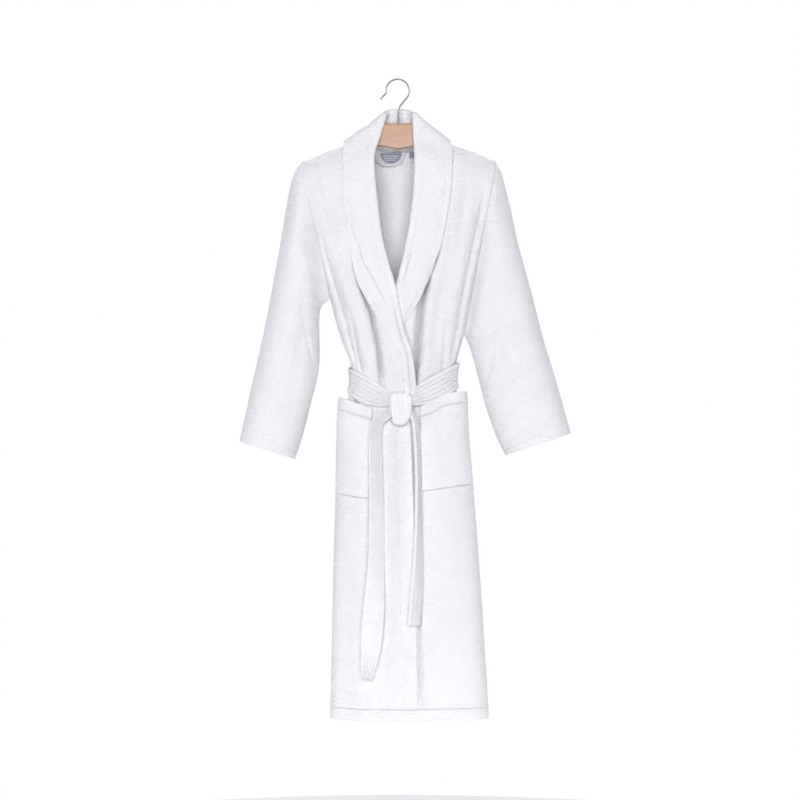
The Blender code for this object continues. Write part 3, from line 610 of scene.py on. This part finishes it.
def row_fractions(count, lines, spread=0.006):
    """Even fractions with extra ones close to the given stitch lines."""
    base = np.linspace(0, 1, count)
    extra = [line + spread * k / 8 for line in lines for k in range(-8, 9)]
    return np.unique(np.clip(np.concatenate([base, extra]), 0, 1).round(6))


def panel(name, left, right, top, depth, columns, crowd, mat, flip, stitch=None):
    """A panel from its hem to its top edge; crowd gives the columns' places across it."""
    height = TIP_Z - HEM_Z
    rows = row_fractions(300, [HEM_STITCH / height], 0.004)
    f = crowd(np.linspace(0, 1, columns))[None, :]
    low, high = left(np.array(0.0)), right(np.array(0.0))
    z = HEM_Z + (top(low + (high - low) * f) - HEM_Z) * rows[:, None]
    x = left(z) + (right(z) - left(z)) * f
    y = depth(x, z)
    groove = stitch_groove(z - HEM_Z - HEM_STITCH)
    if stitch is not None:
        groove = groove + stitch(x, z, f)
    y = y + np.sign(y) * groove
    grid = np.stack([x, y, z], axis=-1)
    return add_grid(name, grid[:, ::-1] if flip else grid, mat, CLOTH, bevel=0.0012)


def make_back(mat):
    def top(x):
        neck = np.where(x < 0, NECK_X[-1], NECK_X[1])
        f = np.clip(x / neck, 0, 1)
        dip = BACK_NECK_Z + (shoulder_z(neck) - BACK_NECK_Z) * f ** 4
        return np.where(np.abs(x) >= np.abs(neck), shoulder_z(x), dip)
    return panel("back", lambda z: side_x(-1, z), lambda z: side_x(1, z), top, back_depth, 150,
                 lambda f: 0.35 * f + 0.65 * (0.5 - 0.5 * np.cos(np.pi * f)), mat, True)


def make_front(name, side, roll, flap, mat):
    outer = side < 0
    points = sorted([(z, x + side * 0.011) for x, z in roll] + [(-0.120, NECK_X[side])])
    roll_curve = curve_of(points[::-1], 0.012)
    flap_curve = curve_of(flap, 0.012)
    change = flap[0][0]

    def inner(z):
        upper = smooth_step(z, change - 0.03, change + 0.005)
        neck = smooth_step(z, -0.150, -0.128)
        edge = flap_curve(z) + (roll_curve(z) - flap_curve(z)) * upper
        return edge + (NECK_X[side] - edge) * neck

    def crowd(f):
        return 0.4 * f + 0.6 * (1 - np.cos(0.5 * np.pi * f))

    def facing_stitch(x, z, f):
        """Line sewn beside the flap's front edge."""
        lower = smooth_step(-z, 0.66, 0.70)
        return stitch_groove(np.abs(inner(z) - x) - 0.030) * lower * (1 if outer else 0)
    return panel(name, lambda z: side_x(side, z), inner, shoulder_z,
                 lambda x, z: -front_depth(x, z, outer), 120, crowd, mat, not outer, facing_stitch)


# -------- collar
def make_collar(name, side, roll, edge, neck, mat):
    """A doubled band that rolls over along its inner line, one half of the shawl."""
    outer = side < 0
    base = CLOTH + LAYER_GAP
    rolls, edges = np.array(roll), np.array(edge)
    outward = edges - rolls
    outward /= np.linalg.norm(outward, axis=1, keepdims=True)
    lips = rolls + outward * 0.009

    def lay(points, offset):
        return front_points(points[:, 0], points[:, 1], np.full(len(points), offset), outer)
    neck = np.array(neck)
    seam = np.vstack([lay(lips, base - 0.0020), neck[:, 0]])
    fold = np.vstack([lay(rolls, base + 0.0020), neck[:, 1]])
    rim = np.vstack([lay(edges, base), neck[:, 2]])
    count = 320
    places = np.concatenate([np.linspace(0, 2, 8)[:-1], np.linspace(2, 4, 15)[:-1], np.linspace(4, 8, 30)])
    seam, fold, rim = spline(seam, count), spline(fold, count), spline(rim, count)
    fall = rim - fold
    fall /= np.linalg.norm(fall, axis=1, keepdims=True)
    under = seam - fold
    under[:, 1] += 0.03 * smooth_step(-fold[:, 1], 0.0, 0.03)
    inward = under - np.sum(under * fall, axis=1, keepdims=True) * fall
    inward /= np.linalg.norm(inward, axis=1, keepdims=True)
    tip = fold - fall * 0.0030
    inner_side = fold + inward * 0.0022 + fall * 0.0010
    outer_side = fold - inward * 0.0026 + fall * 0.0014
    guides = [seam, seam + (inner_side - seam) * 0.6, inner_side, tip, outer_side]
    guides += [fold + (rim - fold) * f - inward * 0.0012 for f in (0.25, 0.5, 0.75)]
    guides += [rim]
    guides = np.stack(guides)
    for k in range(len(guides)):
        guides[k] = soften_rows(guides[k])
    flat = spline_at(guides.reshape(len(guides), -1), places)
    grid = flat.reshape(len(places), count, 3).transpose(1, 0, 2)
    drape_on_body(grid, places, outer, base)
    return add_grid(name, grid[:, ::-1] if outer else grid, mat, COLLAR_CLOTH, bevel=0.0022)


def soften_rows(line, reach=4):
    """Evens out a line of points without moving its ends."""
    kernel = np.exp(-0.5 * (np.arange(-2 * reach, 2 * reach + 1) / reach) ** 2)
    kernel /= kernel.sum()
    ends = np.vstack([2 * line[0] - line[2 * reach:0:-1], line, 2 * line[-1] - line[-2:-2 * reach - 2:-1]])
    return np.stack([np.convolve(ends[:, k], kernel, mode="valid") for k in range(3)], axis=1)


def drape_on_body(grid, places, outer, base):
    """Keeps the collar's fall just off the front it lies on, with the crease of its own weight."""
    x, y, z = grid[..., 0], grid[..., 1], grid[..., 2]
    places = places[None, :]
    falls = smooth_step(places, 4.0, 4.9) * smooth_step(-y, 0.022, 0.044)
    smooth = body_depth(x, z, True) + (front_lift(x, z) if outer else 0.0)
    rest = -(smooth + base + 0.0015)
    upper = smooth_step(z, -0.56, -0.46)
    crease = fold_height([(LAPEL_CREASE, 0.0055, 0.005, 0.008)], x, z) * upper if outer else 0.0
    share = np.clip((places - 4.0) / 4.0, 0, 1)
    puff = 0.0040 * np.sin(np.pi * share) + 0.0012 * ripple(x, z, 0.07)
    hem_line = 0.0013 * np.exp(-((share - 0.84) / 0.022) ** 2) * upper
    grid[..., 1] = y + (rest - puff + crease + hem_line - y) * falls
    back = smooth_step(places, 4.3, 5.2) * (1 - smooth_step(-y, 0.022, 0.044))
    grid[..., 2] += 0.0013 * ripple(x * 1.3, y, 0.035) * back


# -------- sleeves
def make_sleeve(name, side, mat):
    """A tube from the armhole to the cuff with one long fold and one slanting tuck."""
    rings, around = 230, 120
    outer = even_spline([(x, 0, z) for x, z in SLEEVE_OUTER[side]], rings)
    inner = even_spline([(x, 0, z) for x, z in SLEEVE_INNER[side]], rings)
    v = np.linspace(0, 1, rings)[:, None]
    angle = (2 * np.pi * np.arange(around) / around)[None, :]
    down = (1 - np.cos(angle)) / 2
    turn = np.sign(np.sin(angle))
    seam = turn * armhole_profile(down)
    morph = smooth_step(v, 0.0, 0.40 - 0.24 * smooth_step(down, 0.15, 0.6))
    tube = (ARMHOLE_DEPTH + (CUFF_DEPTH - ARMHOLE_DEPTH) * v) * np.sin(angle)
    y = -(seam + (tube - seam) * morph)
    x = outer[:, None, 0] + (inner[:, None, 0] - outer[:, None, 0]) * down
    z = outer[:, None, 2] + (inner[:, None, 2] - outer[:, None, 2]) * down
    grow = smooth_step(v, 0.02, 0.2)
    swell = 0.0026 * np.cos(3 * angle + 1.1 + 2.0 * v) * np.sin(np.pi * v)
    swell = swell * grow + 0.0014 * ripple(x + y, z, 0.13) * grow
    face = np.clip(np.sin(angle) * turn, 0, 1)
    long_fold = 0.0050 * np.exp(-((down - 0.60 - 0.10 * v) / 0.10) ** 2) * smooth_step(v, 0.12, 0.4)
    long_fold = long_fold * smooth_step(1 - v, 0.10, 0.5)
    tuck_fold = 0.0060 * np.exp(-((v - 0.47 + 0.28 * (1 - down)) / 0.035) ** 2)
    tuck_fold = tuck_fold * smooth_step(down, 0.45, 0.85)
    swell = swell - (long_fold + tuck_fold) * face
    end = np.linalg.norm(outer[-1] - outer[0]) * (1 - v)
    swell = swell + stitch_groove(end - CUFF_STITCH, 0.0011, 0.0016)
    mid_x = (outer[:, None, 0] + inner[:, None, 0]) / 2
    away = np.stack([x - mid_x, y * 1.2, np.zeros_like(x)], axis=-1)
    away /= np.maximum(np.linalg.norm(away, axis=-1, keepdims=True), 1e-6)
    grid = np.stack(np.broadcast_arrays(x, y, z), axis=-1) + away * swell[..., None]
    tuck = (1 - smooth_step(v, 0.0, 0.05)) * 0.003
    grid[..., 1] -= np.sign(grid[..., 1]) * tuck
    grid = grid if side > 0 else grid[:, ::-1]
    obj = add_grid(name, grid, mat, CLOTH, closed=True, bevel=0.0012)
    tip, underarm = ARMHOLE[side]
    line = Vector((underarm[0] - tip[0], 0, underarm[1] - tip[1])).normalized()
    normal = Vector((-line.z, 0, line.x))
    if normal.x * side < 0:
        normal.negate()
    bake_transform(obj)
    return obj


# -------- belt
def ring_points(turn, z, offset):
    """Points outside the closed body section: turn 0 is the left seam, 0.5 the right one."""
    left, right = side_x(-1, z), side_x(1, z)

    def raw(t):
        t = np.mod(t, 1.0)
        f = (1 - np.cos(2 * np.pi * t)) / 2
        x = left + (right - left) * f
        front = -body_depth(x, z, True) - front_lift(x, z)
        y = np.where(t < 0.5, front, body_depth(x, z, False))
        return np.stack([x, y, z + 0 * x], axis=-1)
    tangent = raw(turn + 0.006) - raw(turn - 0.006)
    normal = np.stack([tangent[..., 1], -tangent[..., 0], 0 * tangent[..., 0]], axis=-1)
    normal /= np.linalg.norm(normal, axis=-1, keepdims=True)
    return raw(turn) + normal * np.asarray(offset)[..., None]


def belt_height(turn):
    """Height of the belt's centre: lowest at the knot, highest at the back."""
    turns = [row[0] for row in BELT_LINE]
    heights = [row[1] for row in BELT_LINE]
    shifts = np.linspace(-0.03, 0.03, 9)
    return sum(np.interp(np.mod(turn + shift, 1.0), turns, heights) for shift in shifts) / len(shifts)


def channels(across, count, depth):
    """Lengthwise quilting: the belt's surface dips at each sewn row, and is level at its edges."""
    phase = np.abs(np.mod(across * count, 1.0) - 0.5) * 2
    inside = smooth_step(np.minimum(across, 1 - across), 0.0, 0.06)
    return -depth * np.exp(-((1 - phase) / 0.30) ** 2) * inside


def make_belt(mat):
    """The band round the waist, gathered narrower and fuller towards the knot."""
    columns, wide = 460, 56
    clear = CLOTH + 0.0020
    turn = (KNOT_TURN + 0.008 + 0.984 * np.linspace(0, 1, columns))[:, None]
    across = np.linspace(0, 1, wide)[None, :]
    here = ring_points(turn[:, 0], belt_height(turn[:, 0]), np.full(columns, clear))
    along = np.gradient(here, axis=0)
    along /= np.linalg.norm(along, axis=1, keepdims=True)
    rise = np.sqrt(1 - along[:, 2:3] ** 2)
    away = np.abs(np.mod(turn - KNOT_TURN + 0.5, 1) - 0.5)
    width = BELT_WIDTH * (1 - 0.50 * np.exp(-(away / 0.065) ** 2))
    w = across - 0.5
    slide = -along[:, 2:3] * w * width / WAIST_GIRTH
    z = belt_height(turn) + w * width * rise
    bulge = 0.010 * np.exp(-(away / 0.05) ** 2) + channels(across, 6, 0.0016)
    bulge = bulge + 0.0010 * ripple(turn * 0.9, z, 0.06) + 0.0020 * np.sin(np.pi * across)
    grid = ring_points(turn + slide, z, clear + bulge)
    return add_grid("belt_band", grid[:, ::-1], mat, BELT_CLOTH * 0.8, bevel=0.0012)


def make_knot(mat):
    """The wrap over the front of the knot, a bulging strip with sewn rows, and its rounded bottom."""
    box_low, box_high = (np.array(c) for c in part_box("belt_knot"))
    box_low[0] -= 0.005
    centre = (box_low + box_high) / 2
    size = box_high - box_low
    rows, around = 120, 110
    v = np.linspace(0, 1, rows)[:, None]
    angle = (2 * np.pi * np.arange(around) / around)[None, :]
    profile = [(0.0, 0.30), (0.03, 0.72), (0.10, 0.98), (0.30, 1.0), (0.55, 0.90), (0.75, 0.86),
               (0.90, 0.72), (0.97, 0.50), (1.0, 0.22)]
    radius = np.interp(v, [p[0] for p in profile], [p[1] for p in profile])
    kernel = np.ones(7) / 7
    radius = np.convolve(np.pad(radius[:, 0], 3, mode="edge"), kernel, mode="valid")[:, None]
    power = 0.62
    cos, sin = np.cos(angle), np.sin(angle)
    flat_x = np.sign(cos) * np.abs(cos) ** power
    flat_y = np.sign(sin) * np.abs(sin) ** power
    belly = 1 + 0.10 * np.sin(np.pi * v)
    x = centre[0] + size[0] / 2 * radius * flat_x + 0.003 * np.sin(np.pi * v)
    y = centre[1] + size[1] / 2 * (0.55 + 0.45 * radius) * flat_y * belly
    z = box_high[2] - size[2] * v + 0 * angle
    rows_sewn = np.mod((flat_x * 0.5 + 0.5) * 5 + 0.5, 1.0)
    sewn_dip = 0.0024 * np.exp(-((np.abs(rows_sewn - 0.5)) / 0.13) ** 2)
    y = y + sewn_dip * (sin < 0) * smooth_step(-sin, 0.15, 0.5)
    grid = np.stack(np.broadcast_arrays(x, y, z), axis=-1)
    obj = add_grid("knot_wrap", grid, mat, closed=True)
    close_ends(obj)
    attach(obj, "robe")
    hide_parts("belt_knot")


def close_ends(obj):
    """Fills the open ends of a tube."""
    shape = bmesh.new()
    shape.from_mesh(obj.data)
    bmesh.ops.holes_fill(shape, edges=[e for e in shape.edges if e.is_boundary])
    bmesh.ops.recalc_face_normals(shape, faces=shape.faces)
    shape.to_mesh(obj.data)
    shape.free()
    obj.data.shade_smooth()


def make_tail(name, route, widths, turns, mat):
    """A strip hanging from the knot, cupped a little across its width."""
    rows, wide = 260, 36
    path = even_spline(route, rows)
    share = np.linspace(0, 1, len(widths))
    width = np.interp(np.linspace(0, 1, rows), share, widths)
    spin = np.interp(np.linspace(0, 1, rows), share, turns)
    soften = np.ones(21) / 21
    width = np.convolve(np.pad(width, 10, mode="edge"), soften, mode="valid")
    spin = np.convolve(np.pad(spin, 10, mode="edge"), soften, mode="valid")
    along = np.gradient(path, axis=0)
    along /= np.linalg.norm(along, axis=1, keepdims=True)
    side = np.stack([np.cos(spin), np.sin(spin), 0 * spin], axis=1)
    side -= np.sum(side * along, axis=1, keepdims=True) * along
    side /= np.linalg.norm(side, axis=1, keepdims=True)
    face = np.cross(along, side)
    across = np.linspace(0, 1, wide)[None, :]
    w = (across - 0.5)[..., None] * width[:, None, None]
    cup = 0.10 * width[:, None] * (4 * (across - 0.5) ** 2)
    sign = -1.0 if face[rows // 2][1] > 0 else 1.0
    lift = channels(across, 5, 0.0005) - cup * 0.5
    grid = path[:, None, :] + side[:, None, :] * w + sign * face[:, None, :] * lift[..., None]
    obj = add_grid(name, grid[::-1], mat, BELT_CLOTH * 1.1, bevel=0.0015)
    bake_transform(obj)
    return obj


def make_belt_loop(name, turn, mat):
    """A narrow upright strip at the side seam that the belt passes through."""
    rows, wide = 60, 10
    f = np.linspace(-1, 1, rows)[:, None]
    w = np.linspace(-0.5, 0.5, wide)[None, :]
    base = CLOTH + LAYER_GAP
    reach = BELT_WIDTH / 2 + 0.007
    stand = base + (BELT_CLOTH + 0.0008) * smooth_step(1 - np.abs(f), 0.0, 0.30)
    z = belt_height(turn) + f * reach + 0 * w
    grid = ring_points(turn + w * 0.011 + 0 * f, z, stand + 0 * w)
    return add_grid(name, grid, mat, 0.0018, bevel=0.0004)


# -------- pockets
def make_pocket(name, mat):
    """A patch that stands off the skirt at its mouth and lies close at its sides and bottom."""
    side, inner = POCKETS[name]
    outer = side < 0
    u = np.linspace(0, 1, 90)[None, :]
    wide = inner + (POCKET_EDGE[name](np.array(-0.76)) - inner) * np.sin(0.5 * np.pi * u)
    top = curve_of(POCKET_TOPS[name], 0.004)(wide)
    bottom = curve_of(POCKET_BOTTOMS[name], 0.004)(wide)
    hem = 1 - POCKET_HEM / POCKET_HEIGHT
    v = row_fractions(120, [hem, 0.012], 0.012)[:, None]
    z = bottom + (top - bottom) * v
    seam = POCKET_EDGE[name](z)
    x = inner + (seam - inner) * np.sin(0.5 * np.pi * u)
    x_on = inner + (side_x(side, z) - side * 0.002 - inner) * np.sin(0.5 * np.pi * u)
    lift = POCKET_MOUTH * np.sin(np.pi * np.clip(u * 1.04, 0, 1)) ** 0.7 * smooth_step(v, 0.0, 0.85)
    lift = lift + 0.0012 * ripple(x + 2.0, z, 0.06) * smooth_step(v, 0.1, 0.5) * np.sin(np.pi * u)
    stand = 0.0022 * smooth_step(1 - v, 0.93, 1.0) + 0.0018 * smooth_step(1 - u, 0.94, 1.0)
    groove = stitch_groove((1 - v) * POCKET_HEIGHT - POCKET_HEM, 0.0016, 0.0016)
    groove = groove + 0.0010 * smooth_step(v, hem - 0.01, hem + 0.01)
    smooth = body_depth(x_on, z, True) + (front_lift(x_on, z) if outer else 0.0)
    rest = -(smooth + CLOTH + LAYER_GAP)
    y = rest - lift - stand - groove
    grid = np.stack([x, y, z], axis=-1)
    grid = grid if side > 0 else grid[:, ::-1]
    return add_grid(name.replace("patch_", ""), grid, mat, POCKET_CLOTH, bevel=0.0018)


# -------- neck pieces, hanger and hook
def make_loop(mat):
    """A tape whose two ends are sewn at the back neck seam."""
    low, high = (np.array(c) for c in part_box("hanging_loop"))
    half = (high[0] - low[0]) / 2
    centre = (low[0] + high[0]) / 2
    angle = np.linspace(0, np.pi, 90)
    x = centre - half * np.cos(angle)
    z = high[2] - LOOP_DROP * np.sin(angle) ** 0.8
    path = np.stack([x, low[1] + (high[2] - z) * math.sin(BACK_LEAN), z], axis=1)
    inward = np.stack([0.6 * np.cos(angle), 0 * angle, 0.8 * np.sin(angle) + 0.25], axis=1)
    inward /= np.linalg.norm(inward, axis=1, keepdims=True)
    across = np.linspace(0, LOOP_WIDTH, 8)[None, :, None]
    grid = path[:, None, :] + inward[:, None, :] * across
    obj = add_grid("hanger_loop_tape", grid, mat, 0.0012, bevel=0.0004)
    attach(obj, "loop")
    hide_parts("hanging_loop")


def flat_piece(name, points, thickness, place, lean, mat, bevel=0.0002):
    """A flat piece cut to an outline of (x, z) points, with eased edges."""
    curve = bpy.data.curves.new(name, "CURVE")
    curve.dimensions = "2D"
    curve.fill_mode = "BOTH"
    curve.extrude = thickness / 2 - bevel
    curve.bevel_depth = bevel
    curve.bevel_resolution = 3
    line = curve.splines.new("POLY")
    line.points.add(len(points) - 1)
    for point, (x, z) in zip(line.points, points):
        point.co = (x, z, 0, 1)
    line.use_cyclic_u = True
    holder = bpy.data.objects.new(name + "_outline", curve)
    bpy.context.scene.collection.objects.link(holder)
    holder.location = place
    holder.rotation_euler = (math.radians(90) + lean, 0, 0)
    bpy.context.view_layer.update()
    mesh = bpy.data.meshes.new_from_object(holder.evaluated_get(bpy.context.evaluated_depsgraph_get()))
    mesh.transform(holder.matrix_world)
    bpy.data.objects.remove(holder, do_unlink=True)
    shape = bmesh.new()
    shape.from_mesh(mesh)
    bmesh.ops.remove_doubles(shape, verts=shape.verts, dist=0.00001)
    shape.to_mesh(mesh)
    shape.free()
    mesh.name = name
    obj = bpy.data.objects.new(name, mesh)
    bpy.context.scene.collection.objects.link(obj)
    mesh.materials.clear()
    mesh.materials.append(mat)
    mesh.shade_smooth()
    mesh.set_sharp_from_angle(angle=math.radians(40))
    return obj


def make_hanger(mat):
    """The wooden board with eased edges, in the same outline as the model."""
    def arm_top(x):
        return float(shoulder_z(x)) - ARM_DROP
    top = [(0.033, WOOD_TOP), (0.036, WOOD_TOP - 0.006)]
    top += [(x, arm_top(x)) for x in (0.056, 0.10, 0.14, ARM_TIP - 0.006)]
    end = arm_top(ARM_TIP)
    under = [(ARM_TIP, end - 0.006), (ARM_TIP - 0.002, end - ARM_TALL), (0.14, -0.182), (0.10, -0.164)]
    under += [(0.065, -0.148), (0.040, WOOD_UNDER + 0.008)]
    half = top + under
    outline = half + [(0, WOOD_UNDER)] + [(-x, z) for x, z in half[::-1]]
    obj = flat_piece("wooden_hanger", outline, WOOD_THICK, (0, 0, 0), 0.0, mat, 0.0016)
    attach(obj, "robe")
    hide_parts("hanger_body")


def make_label(mat, band):
    """The blank half-round neck label with three plain woven bands."""
    low, high = (np.array(c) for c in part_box("neck_label"))
    place = ((low[0] + high[0]) / 2, low[1] + 0.0006, high[2] - 0.0002)
    half = (high[0] - low[0]) / 2 - 0.0005
    angles = [math.radians(-180 + 6 * k) for k in range(31)]
    arc = [(half * math.cos(a), LABEL_DROP * math.sin(a)) for a in angles]
    label = flat_piece("blank_label", arc, 0.0010, place, BACK_LEAN, mat)
    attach(label, "robe")
    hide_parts("neck_label")
    front = (place[0], place[1] - 0.0009, place[2])
    for k, (level, reach) in enumerate(((0.30, 0.80), (0.52, 0.66), (0.72, 0.46))):
        x, z = half * reach, -LABEL_DROP * level
        strip = [(-x, z), (-x, z - 0.0016), (x, z - 0.0016), (x, z)]
        piece = flat_piece("label_band_%d" % k, strip, 0.0005, front, BACK_LEAN, band, 0.0001)
        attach(piece, "robe")


def make_size_tag(mat):
    """The blank tag beside the label, free to flip."""
    low, high = (np.array(c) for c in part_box("size_tag"))
    wide = (high[0] - low[0]) / 2
    corners = [(-wide, 0), (-wide, -TAG_TALL), (wide, -TAG_TALL), (wide, 0)]
    place = ((low[0] + high[0]) / 2, low[1] + 0.0005, high[2])
    tag = flat_piece("blank_size_tag", corners, 0.0008, place, BACK_LEAN, mat)
    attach(tag, "tag")
    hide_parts("size_tag")


def cloth_piece(obj, body, node):
    """Rides on its body when one is given, and stands for its node."""
    if body:
        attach(obj, body)
    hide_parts(node)


# -------- build
make_camera()
make_stage()
for name, place, energy in LIGHTS:
    area_light(name, place, energy)

TERRY = terry_material("white_terry_pile", (0.92, 0.900, 0.882), (0.81, 0.785, 0.760))
BELTING = terry_material("white_belt_pile", (0.92, 0.900, 0.882), (0.81, 0.785, 0.760), 0.0018, 0.0008)
TAPE = woven_material("loop_tape_weave", (0.80, 0.79, 0.82), (0.62, 0.61, 0.66), 0.0006)
LABEL = woven_material("label_weave", (0.34, 0.35, 0.42), (0.22, 0.23, 0.29), 0.0004)
BAND = woven_material("label_band_weave", (0.62, 0.63, 0.68), (0.50, 0.51, 0.57), 0.0004)
WOOD = wood_material()
STEEL = steel_material()

cloth_piece(make_back(TERRY), "robe", "back_panel")
FRONTS = [("front_outer", "front_panel_left", -1, ROLL_LEFT, OUTER_FLAP, 0.25),
          ("front_under", "front_panel_right", 1, ROLL_RIGHT, UNDER_FLAP, 0.32)]
for name, node, side, roll, flap, wide in FRONTS:
    obj = make_front(name, side, roll, flap, TERRY)
    cloth_piece(obj, "robe", node)
COLLARS = [("collar_left", "shawl_collar_left", -1, ROLL_LEFT, EDGE_LEFT, NECK_LEFT, 0.76, 0.60),
           ("collar_right", "shawl_collar_right", 1, ROLL_RIGHT, EDGE_RIGHT, NECK_RIGHT, 0.66, 0.65)]
for name, node, side, roll, edge, neck, length, share in COLLARS:
    obj = make_collar(name, side, roll, edge, neck, TERRY)
    cloth_piece(obj, "robe", node)
for name, node, side, wide in (("sleeve_cloth_left", "sleeve_left", -1, 0.50),
                               ("sleeve_cloth_right", "sleeve_right", 1, 0.56)):
    cloth_piece(make_sleeve(name, side, TERRY), None, node)
for node, wide in (("patch_pocket_left", 0.13), ("patch_pocket_right", 0.15)):
    cloth_piece(make_pocket(node, TERRY), "robe", node)
cloth_piece(make_belt(BELTING), "robe", "belt_wrap")
make_knot(BELTING)
TAILS = [("tail_long", "belt_tail_long", "long_tail", LONG_TAIL, LONG_TAIL_WIDTH, LONG_TAIL_TURN, 0.56, 0.75),
         ("tail_short", "belt_tail_short", "short_tail", SHORT_TAIL, SHORT_TAIL_WIDTH, SHORT_TAIL_TURN,
          0.45, 0.65)]
for name, node, body, route, widths, turns, length, share in TAILS:
    obj = make_tail(name, route, widths, turns, BELTING)
    cloth_piece(obj, None, node)
for name, node, turn in (("side_loop_left", "belt_loop_left", 0.0),
                         ("side_loop_right", "belt_loop_right", 0.5)):
    cloth_piece(make_belt_loop(name, turn, BELTING), "robe", node)
make_loop(TAPE)
make_label(LABEL, BAND)
make_size_tag(LABEL)
make_hanger(WOOD)
for name in ("hanger_hook", "hook_tip"):
    bpy.data.objects[name].material_slots[0].material = STEEL
    bpy.data.objects[name].data.shade_smooth()
